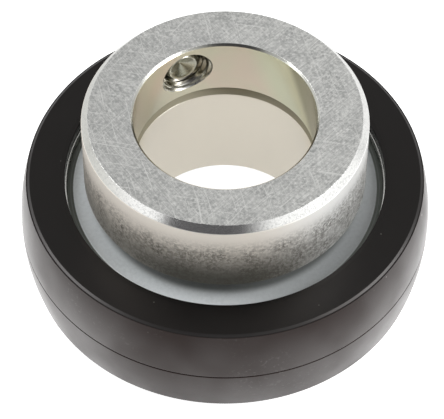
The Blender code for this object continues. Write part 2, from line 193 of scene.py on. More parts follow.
def spot(name, default, description):
    """A place in metres."""
    return FloatVectorProperty(
        name=name, description=description, default=default, size=3, subtype="TRANSLATION", unit="LENGTH"
    )


class GeneralSettings(PropertyGroup):
    columns: count("Columns", 360, "Grid columns round each turned piece")
    edge_rounding: length("Edge rounding", 0.00006, "Radius of a machined edge")
    arc_steps: count("Arc steps", 5, "Grid rows on a rounded edge")


class InterlinerSettings(PropertyGroup):
    crown_radius: length("Crown radius", 0.0440, "Radius of the crowned outside, seen in section")
    bevel_width: length("Bevel width", 0.00045, "Width of the bevel round each end face")
    bevel_drop: length("Bevel drop", 0.00030, "How far that bevel falls, down to the flash line")
    bevel_rounding: length("Bevel rounding", 0.00012, "Rounding between the end face and the bevel")
    flash_width: length("Flash width", 0.00022, "Width of the flash line between bevel and crown")
    inner_radius: length("Inner radius", 0.0313525, "Radius of the lip's mouth")
    inner_rounding: length("Inner rounding", 0.00015, "Rounding at the mouth of the lip")
    lip_bevel_width: length("Lip bevel width", 0.0009, "Width of the faint slope at the mouth of the lip")
    lip_bevel_drop: length("Lip bevel drop", 0.00010, "How far that slope falls")
    seat_gap: length("Seat gap", 0.0003, "Gap to the outer ring")
    line_depth: length("Line depth", 0.00020, "Depth of the parting line")
    line_width: length("Line width", 0.00010, "Half width of the parting line")
    flash_depth: length("Flash depth", 0.00012, "Depth of the flash lines")
    crown_rows: count("Crown rows", 113, "Grid rows over the crown")


class RingSettings(PropertyGroup):
    mouth_radius: length("Mouth radius", 0.0310525, "Radius of the outer ring's mouth")
    recess_undercut: length("Recess undercut", 0.00035, "Depth of the seal recess behind the mouth")
    recess_depth: length("Recess depth", 0.0011, "Depth of the seal recess behind the land")
    outer_chamfer: length("Outer chamfer", 0.0010, "Chamfer on the outer ring's outside")
    race_clearance: length("Race clearance", 0.0001, "Gap between a ball and each raceway")
    groove_conformity: amount("Groove conformity", 0.52, "Groove radius as a share of the ball's diameter")
    groove_rows: count("Groove rows", 40, "Grid rows over a raceway groove")
    bore_radius: length("Bore radius", 0.0175, "Radius of the inner ring's bore")
    bore_chamfer: length("Bore chamfer", 0.0014, "Chamfer at each end of the bore")
    shoulder_chamfer: length("Shoulder chamfer", 0.0005, "Chamfer at the shoulder's lower end")
    eccentricity: length("Eccentricity", 0.0008, "Offset of the journal that the collar locks on")
    journal_radius: length("Journal radius", 0.0222, "Radius of that journal")
    journal_start: length("Journal start", 0.0045, "How far the journal starts below the inner ring's end")
    journal_chamfer: length("Journal chamfer", 0.0004, "Chamfer at the journal's end")


class SealSettings(PropertyGroup):
    sheet: length("Sheet", 0.0004, "Thickness of a pressed washer")
    face_gap: length("Face gap", 0.0001, "Gap between the clamped faces")
    flange: length("Flange", 0.0014, "Width of the outer washer's bent flange")
    bore_gap: length("Bore gap", 0.00085, "Gap between the outer washer's bore and the shoulder")
    bend_radius: length("Bend radius", 0.00022, "Radius of the flange's bend")
    lip_clearance: length("Lip clearance", 0.0001, "Gap between the rubber lip and the shoulder")
    lip_contact: length("Lip contact", 0.00035, "Width of the lip's running edge")
    inner_bore_step: length("Inner bore step", 0.0005, "How much wider the inner washer's bore is")


class CollarSettings(PropertyGroup):
    bore_radius: length("Bore radius", 0.01757, "Radius of the collar's bore")
    top_chamfer_width: length("Top chamfer width", 0.00125, "Width of the big upper chamfer")
    top_chamfer_height: length("Top chamfer height", 0.00155, "Height of the big upper chamfer")
    edge_chamfer: length("Edge chamfer", 0.0003, "Chamfers at the collar's lower end")
    bore_chamfer: length("Bore chamfer", 0.00046, "Chamfer at the bore's upper end")
    floor_chamfer: length("Floor chamfer", 0.0004, "Chamfer at the bore's lower end")
    recess_depth: length("Recess depth", 0.0040, "Depth of the eccentric recess")
    recess_radius: length("Recess radius", 0.0225, "Radius of the eccentric recess")
    hole_radius: length("Hole radius", 0.00408, "Radius of the tapped hole where the screw runs")
    mouth_width: length("Mouth width", 0.0008, "How far the countersink in the bore widens the hole")
    mouth_depth: length("Mouth depth", 0.0013, "Depth of that countersink")
    outer_countersink: length("Outer countersink", 0.0002, "Countersink at the outside")
    drift_radius: length("Drift radius", 0.0030, "Radius of the blind drift hole")
    drift_depth: length("Drift depth", 0.0032, "Depth of the drift hole's straight wall")
    drift_turn: turn("Drift turn", -90.0, "Angle from the tapped hole to the drift hole")
    window_columns: count("Window columns", 22, "Grid columns on each side of a hole's window")
    window_rows: count("Window rows", 20, "Grid rows in a hole's window")
    outer_window: length("Outer window", 0.0043, "Half height of the windows in the outer wall")
    bore_window: length("Bore window", 0.0050, "Half height of the window in the bore")
    patch_rows: count("Patch rows", 7, "Grid rows between a window and its hole")
    tube_rows: count("Tube rows", 150, "Grid rows along the tapped hole")


class ScrewSettings(PropertyGroup):
    pitch: length("Thread pitch", 0.00125, "Pitch of the screw's thread")
    thread_depth: length("Thread depth", 0.00050, "Depth of the thread on the screw and in the hole")
    minor_radius: length("Minor radius", 0.00352, "Crest radius of the first turn in the hole")
    cup_radius: length("Cup radius", 0.0028, "Radius of the cup point")
    cup_slope: turn("Cup slope", 31.0, "Slope of the cup's cone and of a drill point")
    end_chamfer: length("End chamfer", 0.0007, "Chamfer at the screw's outer end")
    socket_across_flats: length("Socket across flats", 0.0040, "Width of the hexagon socket")
    socket_depth: length("Socket depth", 0.0035, "Depth of the hexagon socket")
    set_back: length("Set back", 0.0006, "How far the screw ends below the collar's outside")
    screw_length: length("Screw length", 0.0080, "Length of the grub screw")
    columns: count("Columns", 120, "Grid columns round the screw, a multiple of twelve")
    rows: count("Rows", 130, "Grid rows along the screw's thread")


class FinishSettings(PropertyGroup):
    zinc: tint("Zinc", (0.86, 0.86, 0.84), "Plated collar's top face")
    # Also the colour of the painted shade on the left of the collar's top face
    zinc_shade: tint("Zinc shade", (0.36, 0.365, 0.36), "Duller grains of the plating")
    zinc_bright: tint("Bright zinc", (0.86, 0.86, 0.84), "Long scratches on the top face")
    # Painted shade on the outer chamfer's left; also the lighter colour at the tapped hole's mouth
    zinc_bevel: tint("Zinc bevel", (0.62, 0.62, 0.585), "Outer chamfer on the left and tapped hole's mouth")
    bevel_pale: tint("Pale bevel", (0.90, 0.90, 0.88), "Outer chamfer away from the left")
    bevel_inner: tint("Inner bevel", (0.50, 0.50, 0.465), "Chamfer at the bore's upper end")
    # Painted light: the collar's side is pale on the right
    zinc_painted_light: tint("Pale zinc", (0.94, 0.94, 0.92), "Plating on the collar's side on the right")
    zinc_wall: tint("Zinc wall", (0.77, 0.72, 0.65), "Warm plating on the collar's side")
    # Painted dark reflection of the rubber, low on the collar's side
    zinc_painted_reflection: tint("Low zinc", (0.15, 0.145, 0.125), "Darker plating low on the collar's side")
    zinc_stain: tint("Zinc stain", (0.11, 0.10, 0.08), "Dark flecks on the collar's side")
    # Painted shade in the tapped hole
    zinc_hole_shade: tint("Shaded hole", (0.36, 0.34, 0.29), "Tapped hole")
    bore_warm: tint("Warm bore", (0.74, 0.65, 0.55), "Warm cast of the passivated bore")
    bore_green: tint("Green bore", (0.67, 0.71, 0.545), "Greenish cast of the passivated bore")
    # Painted shade at the sides of the bore
    bore_olive_shade: tint("Bore olive", (0.36, 0.36, 0.275), "Darker passivation on the right of the bore")
    # Painted dark reflection on the washers' bent flange
    flange_reflection_colour: tint("Sheet flange", (0.185, 0.20, 0.185), "Flange of the pressed washers")
    sheet: tint("Washer sheet", (0.70, 0.735, 0.75), "Pressed washers")
    # Painted shade on the washers under the collar
    sheet_shade_colour: tint("Dark sheet", (0.060, 0.066, 0.060), "Greasy washers under the collar")
    steel: tint("Bearing steel", (0.84, 0.84, 0.82), "Outer ring")
    bore_steel: tint("Bore steel", (0.93, 0.885, 0.80), "Ground bore of the inner ring")
    scale: tint("Turned scale", (0.50, 0.46, 0.35), "Unground chamfers of the inner ring")
    # Painted shade on those chamfers at the sides
    scale_shade_colour: tint("Dark scale", (0.26, 0.235, 0.165), "Those chamfers at the sides")
    ball_steel: tint("Ball steel", (0.75, 0.75, 0.75), "Polished balls")
    screw_steel: tint("Screw steel", (0.60, 0.60, 0.52), "Grub screw")
    rubber: tint("Rubber", (0.0045, 0.0042, 0.0042), "Moulded interliner's end faces")
    rubber_bloom: tint("Rubber bloom", (0.0095, 0.0022, 0.0010), "Brownish bloom on its crown")
    rubber_bevel: tint("Rubber bevel", (0.016, 0.015, 0.015), "Bevel round its end faces")
    scuff: tint("Scuffs", (0.115, 0.108, 0.102), "Scuffs on its crown")
    crumb: tint("Crumbs", (0.35, 0.335, 0.32), "Crumbs along its edge")
    dust: tint("Dust", (0.30, 0.29, 0.27), "Dust specks on rubber")
    seal_rubber: tint("Seal rubber", (0.025, 0.025, 0.027), "Seal lips")
    polyamide: tint("Polyamide", (0.60, 0.49, 0.31), "Ball cage")
    zinc_relief: length("Zinc relief", 0.000014, "Depth of the collar's texture")
    steel_relief: length("Steel relief", 0.000002, "Depth of the texture of both rings")
    sheet_relief: length("Sheet relief", 0.000003, "Depth of the washers' texture")
    polish_relief: length("Polish relief", 0.000001, "Depth of the texture of the balls and the screw")
    rubber_relief: length("Rubber relief", 0.000006, "Depth of the rubber's pores")
    polyamide_relief: length("Polyamide relief", 0.00001, "Depth of the cage's texture")


class StageSettings(PropertyGroup):
    elevation: turn("Elevation", 52.107, "Height of the camera above the horizon")
    distance: length("Distance", 0.52834, "Distance of the camera from its target")
    target_height: length("Target height", 0.020, "Height of the camera's target above the floor")
    yaw: turn("Yaw", 0.100, "Aim of the camera to the left")
    pitch: turn("Pitch", 0.577, "Aim of the camera below its target")
    roll: turn("Roll", 0.145, "Roll of the camera")
    focal_length: amount("Focal length", 218.3, "Focal length in millimetres on a 36 mm sensor")
    floor_size: length("Floor size", 3.0, "Length of the floor's sides")
    floor_gap: length("Floor gap", 0.0002, "How far the floor lies below the bearing")
    world_level: amount("World level", 1.0, "Strength of the studio's walls")
    ceiling_left: tint("Left ceiling", (0.55, 0.55, 0.545), "The ceiling on the left")
    ceiling_right: tint("Right ceiling", (0.68, 0.68, 0.665), "The ceiling on the right")
    dark_zone: tint("Dark zone", (0.085, 0.083, 0.087), "Where a photographer would stand")
    floor_white: amount("Floor white", 0.80, "Lightness of the floor")
    floor_glow: amount("Floor glow", 0.85, "Light that the floor adds for the camera, to be white")
    left_wall: amount("Left wall", 1.05, "Brightness of the wall on the left")
    right_wall: amount("Right wall", 1.10, "Brightness of the wall on the right")
    right_power: amount("Right power", 3.1, "Power of the right lamp in watts")
    left_power: amount("Left power", 2.6, "Power of the left lamp in watts")
    right_lamp: spot("Right lamp", (0.55, -0.12, 0.48), "Place of the right lamp")
    left_lamp: spot("Left lamp", (-0.56, 0.06, 0.52), "Place of the left lamp")
    lamp_width: length("Lamp width", 0.50, "Width of both lamps")
    lamp_height: length("Lamp height", 0.35, "Height of both lamps")


def settings_of(*names):
    """The settings of a group, or of several groups in order."""
    groups = [getattr(bpy.context.scene, f"bearing_{name}") for name in names]
    return groups if len(groups) > 1 else groups[0]


# Outlines


def unit(vector):
    """The vector at length one."""
    return vector / np.linalg.norm(vector)


def corner(radius, height, rounding, shift=0.0):
    """One corner of an outline, with the radius that rounds it and its circle's shift along X."""
    return np.array([[radius, height, rounding, shift]])


def run(radii, heights):
    """Outline points without rounding, at the given radii and heights."""
    radii, heights = np.broadcast_arrays(np.asarray(radii, float), np.asarray(heights, float))
    plain = np.zeros_like(radii)
    return np.stack([radii, heights, plain, plain], axis=1)


def rounded(*pieces):
    """Round the corners of a closed outline.

    Each corner becomes an arc that touches both its edges: its centre lies on the corner's bisector, and
    its points are the circular blend of the two touching radii. Two support points on each edge keep the
    flats' shading flat. The result has rows (radius, height, shift, wear), with wear 1 on the arcs.
    """
    points = np.concatenate(pieces)
    before = np.roll(points, 1, axis=0)
    after = np.roll(points, -1, axis=0)
    blend = np.linspace(0.0, 1.0, settings_of("general").arc_steps + 1)[:, None]
    rows = []
    for (radius, height, rounding, shift), last, following in zip(points, before, after):
        if rounding == 0.0:
            rows.append(np.array([[radius, height, shift, 0.0]]))
            continue
        here = np.array([radius, height])
        edges = (last[:2] - here, following[:2] - here)
        back, forth = (unit(edge) for edge in edges)
        half = math.acos(np.clip(back @ forth, -1.0, 1.0)) / 2
        reach = rounding / math.tan(half)
        centre = here + unit(back + forth) * rounding / math.sin(half)
        span = math.pi - 2 * half
        start = here + back * reach - centre
        end = here + forth * reach - centre
        bend = centre + (np.sin((1 - blend) * span) * start + np.sin(blend * span) * end) / math.sin(span)
        far = [min(SUPPORT_REACH, SUPPORT_SHARE * np.linalg.norm(edge)) for edge in edges]
        near = [NEAR_SUPPORT * distance for distance in far]
        path = np.concatenate([
            [here + back * (reach + far[0]), here + back * (reach + near[0])],
            bend,
            [here + forth * (reach + near[1]), here + forth * (reach + far[1])],
        ])
        wear = np.array([0.0, NEAR_WEAR, *np.ones(len(bend)), NEAR_WEAR, 0.0])
        rows.append(np.column_stack([path, np.full(len(path), shift), wear]))
    return np.concatenate(rows)


def mirrored(points):
    """The same outline points below the plane of the balls, in the opposite order."""
    lower = points[::-1].copy()
    lower[:, 1] *= -1
    return lower


def groove(centre_radius, land_radius, side):
    """A raceway groove from its lower to its upper edge, as an arc about (centre_radius, 0)."""
    rings = settings_of("rings")
    radius = rings.groove_conformity * 2 * BALL_RADIUS
    half = math.acos(abs(land_radius - centre_radius) / radius)
    angle = np.linspace(-half, half, rings.groove_rows)
    return run(centre_radius + side * radius * np.cos(angle), radius * np.sin(angle))


# Grids and meshes


def grid_faces(rows, columns, close_rows=False, close_columns=False):
    """Quads of a grid whose point (i, j) has the number i * columns + j."""
    i, j = np.meshgrid(
        np.arange(rows if close_rows else rows - 1),
        np.arange(columns if close_columns else columns - 1),
        indexing="ij",
    )
    below, right = (i + 1) % rows, (j + 1) % columns
    i *= columns
    below *= columns
    return np.stack([i + j, below + j, below + right, i + right], axis=-1)


def patch(points, wear=0.0, close_rows=False, close_columns=False, keep=None):
    """A grid of points as (points, quads, wear), without the quads that keep leaves out."""
    rows, columns = points.shape[:2]
    faces = grid_faces(rows, columns, close_rows, close_columns)
    faces = faces.reshape(-1, 4) if keep is None else faces[keep]
    return points.reshape(-1, 3), faces, np.broadcast_to(wear, (rows, columns)).ravel()


def sewn_mesh(name, patches):
    """One closed mesh of patches that share their edges, with outward normals and a wear attribute."""
    starts = np.cumsum([0] + [len(points) for points, _, _ in patches])
    points = np.concatenate([points for points, _, _ in patches])
    faces = np.concatenate([faces + start for (_, faces, _), start in zip(patches, starts)])
    wear = np.concatenate([wear for _, _, wear in patches])
    mesh = bpy.data.meshes.new(name)
    mesh.from_pydata(points, [], faces.tolist())
    mesh.attributes.new("wear", "FLOAT", "POINT").data.foreach_set("value", wear.astype(np.float32))
    bm = bmesh.new()
    bm.from_mesh(mesh)
    bmesh.ops.remove_doubles(bm, verts=bm.verts, dist=SEWING_DISTANCE)
    bmesh.ops.delete(bm, geom=[vert for vert in bm.verts if not vert.link_faces], context="VERTS")
    bmesh.ops.recalc_face_normals(bm, faces=bm.faces)
    bm.to_mesh(mesh)
    bm.free()
    mesh.shade_smooth()
    mesh.set_sharp_from_angle(angle=CREASE)
    return mesh


def turned(outline, columns, first=0.0):
    """Turn an outline about Z.

    Point (i, j) is (r_j cos a_i + shift_j, r_j sin a_i, z_j), with the angles a_i evenly spaced from first.
    """
    angle = first + 2 * math.pi * np.arange(columns)[:, None] / columns
    radius, height, shift = outline[:, 0], outline[:, 1], outline[:, 2]
    return np.stack([
        radius * np.cos(angle) + shift,
        radius * np.sin(angle),
        np.broadcast_to(height, (columns, len(height))),
    ], axis=-1)


def turned_patch(outline, columns, first=0.0, keep=None):
    """A closed ring turned from a closed outline."""
    points = turned(outline, columns, first)
    return patch(points, outline[:, 3], close_rows=True, close_columns=True, keep=keep)


def ring(*pieces):
    """A ring turned from an outline of corners and runs, with heights from the plane of the balls."""
    outline = rounded(*pieces)
    outline[:, 1] += RACE_HEIGHT
    return turned_patch(outline, settings_of("general").columns)


def add_piece(name, patches, finish, body, nodes):
    """Sew a piece of its patches. It rides on a body and stands for that body's nodes."""
    mesh = sewn_mesh(name, patches)
    mesh.materials.append(shared_finish(finish))
    piece = bpy.data.objects.new(name, mesh)
    bpy.context.collection.objects.link(piece)
    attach(piece, body)
    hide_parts(*nodes)


# Shader graphs


class Graph:
    """Adds nodes to a node tree, and sets or links their inputs."""

    def __init__(self, tree):
        self.tree = tree

    @cached_property
    def place(self):
        """The piece's own coordinates, in metres."""
        return self.node("ShaderNodeTexCoord").outputs["Object"]

    @cached_property
    def axes(self):
        """Those coordinates one by one, as X, Y and Z."""
        return self.node("ShaderNodeSeparateXYZ", {"Vector": self.place}).outputs

    @cached_property
    def radius(self):
        """Distance from the bearing's axis."""
        flat = self.vector("MULTIPLY", self.place, (1.0, 1.0, 0.0))
        return self.vector("LENGTH", flat, output="Value")

    def link(self, output, socket):
        """Link an output to an input."""
        self.tree.links.new(output, socket)

    def node(self, kind, inputs=None, **settings):
        """A node of a kind. An input is a value, or the output that it is linked to."""
        made = self.tree.nodes.new(kind)
        for name, value in settings.items():
            setattr(made, name, value)
        for name, value in (inputs or {}).items():
            if isinstance(value, bpy.types.NodeSocket):
                self.link(value, made.inputs[name])
            else:
                made.inputs[name].default_value = value
        return made

    def math(self, operation, *values):
        """The result of a Math node."""
        return self.node("ShaderNodeMath", dict(enumerate(values)), operation=operation).outputs[0]

    def times(self, first, *others):
        """The product of two or more values."""
        for value in others:
            first = self.math("MULTIPLY", first, value)
        return first

    def plus(self, value, factor, added):
        """A value times a factor, plus another."""
        return self.math("MULTIPLY_ADD", value, factor, added)

    def rest(self, value):
        """One less a value."""
        return self.math("SUBTRACT", 1.0, value)

    def most(self, first, *others):
        """The largest of two or more values."""
        for value in others:
            first = self.math("MAXIMUM", first, value)
        return first

    def away(self, value, centre):
        """How far a value lies from a centre, on either side."""
        return self.math("ABSOLUTE", self.math("SUBTRACT", value, centre))

    def vector(self, operation, *values, output="Vector"):
        """The result of a Vector Math node."""
        return self.node("ShaderNodeVectorMath", dict(enumerate(values)), operation=operation).outputs[output]

    def noise(self, scale, detail=2.0, roughness=0.5, place=None):
        """The value of a Noise texture."""
        inputs = {"Vector": place or self.place, "Scale": scale, "Detail": detail, "Roughness": roughness}
        return self.node("ShaderNodeTexNoise", inputs).outputs[0]

    def grains(self, size, detail, roughness=0.5):
        """Noise with grains of a size in metres."""
        return self.noise(self.math("DIVIDE", 1.0, size), detail, roughness)

    def stretched(self, place, angle, scale, detail, shift=0.0):
        """Noise drawn out along a direction, given as an angle about Z."""
        spun = self.node("ShaderNodeVectorRotate", {"Vector": place, "Angle": angle}, rotation_type="Z_AXIS")
        moved = self.vector("ADD", spun.outputs[0], (shift, 0.0, 0.0))
        return self.noise(1.0, detail, 0.65, self.vector("MULTIPLY", moved, scale))

    def specks(self, density, inner, outer, share):
        """Round specks in a share of a Voronoi texture's cells, fading from an inner to an outer radius."""
        cells = self.node("ShaderNodeTexVoronoi", {"Vector": self.place, "Scale": density}).outputs
        picked = self.node("ShaderNodeSeparateColor", {"Color": cells["Color"]}).outputs[0]
        near = self.span(cells["Distance"], inner, outer, 1.0, 0.0)
        return self.times(near, self.math("LESS_THAN", picked, share))

    def span(self, value, low, high, to_low=0.0, to_high=1.0):
        """Map a value from one range to another, smoothly and without passing its ends."""
        inputs = {"Value": value, 1: low, 2: high, 3: to_low, 4: to_high}
        return self.node("ShaderNodeMapRange", inputs, interpolation_type="SMOOTHSTEP").outputs[0]

    def mix(self, factor, *colours):
        """Blend two colours."""
        first, second = (
            colour if isinstance(colour, bpy.types.NodeSocket) else (*colour, 1.0) for colour in colours
        )
        inputs = {"Factor": factor, 6: first, 7: second}
        return self.node("ShaderNodeMix", inputs, data_type="RGBA").outputs[2]

    def mix_value(self, factor, first, second):
        """Blend two values."""
        return self.node("ShaderNodeMix", {"Factor": factor, "A": first, "B": second}).outputs[0]

    def effect(self, name, **inputs):
        """The outputs of a shared effect with its own values. An underscore stands for a blank in a name."""
        placed = {label.replace("_", " "): value for label, value in inputs.items()}
        group = bpy.data.node_groups.get(name) or EFFECT_MAKERS[name]()
        return self.node("ShaderNodeGroup", placed, node_tree=group).outputs


class Finish(Graph):
    """The graph of a material with a Principled shader, with the colour, roughness and relief so far."""

    def __init__(self, name, metallic=0.0, specular=0.5):
        self.material = bpy.data.materials.new(name)
        self.material.use_nodes = True
        super().__init__(self.material.node_tree)
        self.sockets = self.tree.nodes["Principled BSDF"].inputs
        self.sockets["Metallic"].default_value = metallic
        self.sockets["Specular IOR Level"].default_value = specular

    def start(self, colour, roughness, height):
        """Set the colour, the roughness and the relief to begin with."""
        self.colour = colour
        self.roughness = roughness
        self.height = height

    def paint(self, mask, colour, roughness=None):
        """Lay a colour over the one so far, and a roughness too where one is given."""
        self.colour = self.mix(mask, self.colour, colour)
        if roughness is not None:
            self.roughness = self.mix_value(mask, self.roughness, roughness)

    def dress(self, depth):
        """Link the colour and the roughness, and raise the surface by the relief times a depth in metres."""
        bump = self.node("ShaderNodeBump", {"Height": self.height, "Distance": depth, "Strength": 1.0})
        self.link(self.colour, self.sockets["Base Color"])
        self.link(self.roughness, self.sockets["Roughness"])
        self.link(bump.outputs[0], self.sockets["Normal"])
        return self.material


# Shared effects


def new_effect(name, inputs, *outputs):
    """An empty shader node group, as its graph, its inputs and its outputs."""
    tree = bpy.data.node_groups.new(name, "ShaderNodeTree")
    for label, default in inputs.items():
        socket = tree.interface.new_socket(label, in_out="INPUT", socket_type="NodeSocketFloat")
        socket.default_value = default
    for label in outputs:
        tree.interface.new_socket(label, in_out="OUTPUT", socket_type="NodeSocketFloat")
    graph = Graph(tree)
    return graph, graph.node("NodeGroupInput").outputs, graph.node("NodeGroupOutput").inputs


def grain_scale(graph, given):
    """Noise scale along and across a grain, from an effect's Length and Width."""
    along = graph.math("DIVIDE", 1.0, given["Length"])
    across = graph.math("DIVIDE", 1.0, given["Width"])
    return graph.node("ShaderNodeCombineXYZ", {"X": along, "Y": across, "Z": along}).outputs[0]


def turning_marks():
    """Fine rings that a lathe tool leaves: noise over radius and height, nearly even round the axis."""
    graph, given, result = new_effect("Turning marks", {"Fineness": 9000.0, "Drift": 25.0}, "Height", "Band")
    rings = graph.node("ShaderNodeCombineXYZ", {"X": graph.radius, "Y": graph.axes["Z"]}).outputs[0]
    drift = graph.vector("SCALE", graph.place)
    graph.link(graph.math("DIVIDE", given["Drift"], given["Fineness"]), drift.node.inputs["Scale"])
    traced = graph.vector("ADD", rings, drift)
    graph.link(graph.noise(given["Fineness"], 3.0, 0.6, traced), result["Height"])
    graph.link(graph.noise(graph.times(given["Fineness"], 0.12), 2.0, 0.5, traced), result["Band"])
    return graph.tree


def handling_scratches():
    """Thin random scratches: noise drawn out along three directions, of which only the peaks show."""
    sizes = {"Width": 0.00012, "Length": 0.006, "Share": 0.06, "Turn": 0.0}
    graph, given, result = new_effect("Handling scratches", sizes, "Mask")
    wander = graph.node("ShaderNodeTexNoise", {"Vector": graph.place, "Scale": 90.0, "Detail": 1.0})
    bent = graph.vector("MULTIPLY_ADD", wander.outputs["Color"], (0.0016, 0.0016, 0.0016), graph.place)
    scale = grain_scale(graph, given)
    threshold = graph.math("SUBTRACT", 0.78, given["Share"])
    peaks = []
    for index, angle in enumerate((0.35, 1.45, 2.55)):
        line = graph.stretched(bent, graph.math("ADD", given["Turn"], angle), scale, 2.0, 0.013 * index)
        peaks.append(graph.span(line, threshold, graph.math("ADD", threshold, 0.06)))
    graph.link(graph.most(*peaks), result["Mask"])
    return graph.tree


def crossed_brushing():
    """Brushing in two crossing directions, each stronger on one side, from dull to bright."""
    graph, given, result = new_effect("Crossed brushing", {"Width": 0.0002, "Length": 0.003}, "Value")
    scale = grain_scale(graph, given)
    total = graph.times(graph.noise(1500.0, 4.0, 0.7), 0.6)
    for angle, left, right in ((0.95, 1.1, 0.4), (2.35, 0.4, 1.1)):
        share = graph.span(graph.axes["X"], -0.022, 0.022, left, right)
        total = graph.plus(graph.stretched(graph.place, angle, scale, 3.0), share, total)
    graph.link(graph.span(total, 0.83, 1.27), result["Value"])
    return graph.tree


def plating_grain():
    """Mottled plating: fine grains that gather into clouds."""
    sizes = {"Grain Size": 0.0004, "Cloud Size": 0.005}
    graph, given, result = new_effect("Plating grain", sizes, "Grain", "Cloud")
    graph.link(graph.span(graph.grains(given["Grain Size"], 5.0, 0.62), 0.33, 0.68), result["Grain"])
    graph.link(graph.span(graph.grains(given["Cloud Size"], 3.0, 0.55), 0.35, 0.66), result["Cloud"])
    return graph.tree


def edge_wear():
    """Rubbed edges: the wear attribute broken up by noise."""
    graph, given, result = new_effect("Edge wear", {"Chip Size": 0.0006, "Amount": 0.6}, "Mask")
    wear = graph.node("ShaderNodeAttribute", attribute_name="wear").outputs["Fac"]
    broken = graph.span(graph.grains(given["Chip Size"], 3.0), 0.36, 0.62)
    graph.link(graph.times(wear, broken, given["Amount"]), result["Mask"])
    return graph.tree


def moulded_skin():
    """Moulded rubber's skin: fine pores, faint flow clouds and a few dust specks."""
    sizes = {"Pore Size": 0.00025, "Cloud Size": 0.012, "Dust Share": 0.05}
    graph, given, result = new_effect("Moulded skin", sizes, "Pores", "Cloud", "Dust")
    graph.link(graph.grains(given["Pore Size"], 4.0, 0.6), result["Pores"])
    graph.link(graph.span(graph.grains(given["Cloud Size"], 3.0, 0.6), 0.36, 0.66), result["Cloud"])
    graph.link(graph.specks(900.0, 0.06, 0.16, given["Dust Share"]), result["Dust"])
    return graph.tree


EFFECT_MAKERS = {
    "Turning marks": turning_marks,
    "Handling scratches": handling_scratches,
    "Crossed brushing": crossed_brushing,
    "Plating grain": plating_grain,
    "Edge wear": edge_wear,
    "Moulded skin": moulded_skin,
}


# Finishes: the spans over a radius, a height or X are the zones of a piece, with soft edges; some of them
# paint light or shade


def scaled(colour, factor):
    """A colour times a factor, up to white."""
    return tuple(min(1.0, factor * value) for value in colour)


def machined_finish(name, light, shade, rough, marks, scratch_share, grain_size, metallic=1.0):
    """A turned, plated or ground face, with grain, rings, scratches and rubbed edges."""
    finish = Finish(name, metallic)
    grain = finish.effect("Plating grain", Grain_Size=grain_size, Cloud_Size=0.0045)
    rings = finish.effect("Turning marks", Fineness=marks, Drift=30.0)
    scratches = finish.effect(
        "Handling scratches", Width=0.00016, Length=0.014, Share=scratch_share, Turn=0.4
    )["Mask"]
    wear = finish.effect("Edge wear", Chip_Size=0.0007, Amount=0.7)["Mask"]
    mottle = finish.times(grain["Grain"], finish.span(grain["Cloud"], 0.0, 1.0, 0.6, 1.0))
    shine = finish.most(finish.times(scratches, 0.8), wear)
    colour = finish.mix(shine, finish.mix(mottle, light, shade), scaled(light, 1.18))
    dulled = finish.plus(mottle, 0.16, rough)
    banded = finish.plus(finish.math("SUBTRACT", rings["Band"], 0.5), 0.14, dulled)
    ridges = finish.plus(rings["Height"], 0.4, finish.times(grain["Grain"], 0.6))
    finish.start(colour, finish.plus(shine, -0.12, banded), finish.plus(scratches, -0.6, ridges))
    return finish


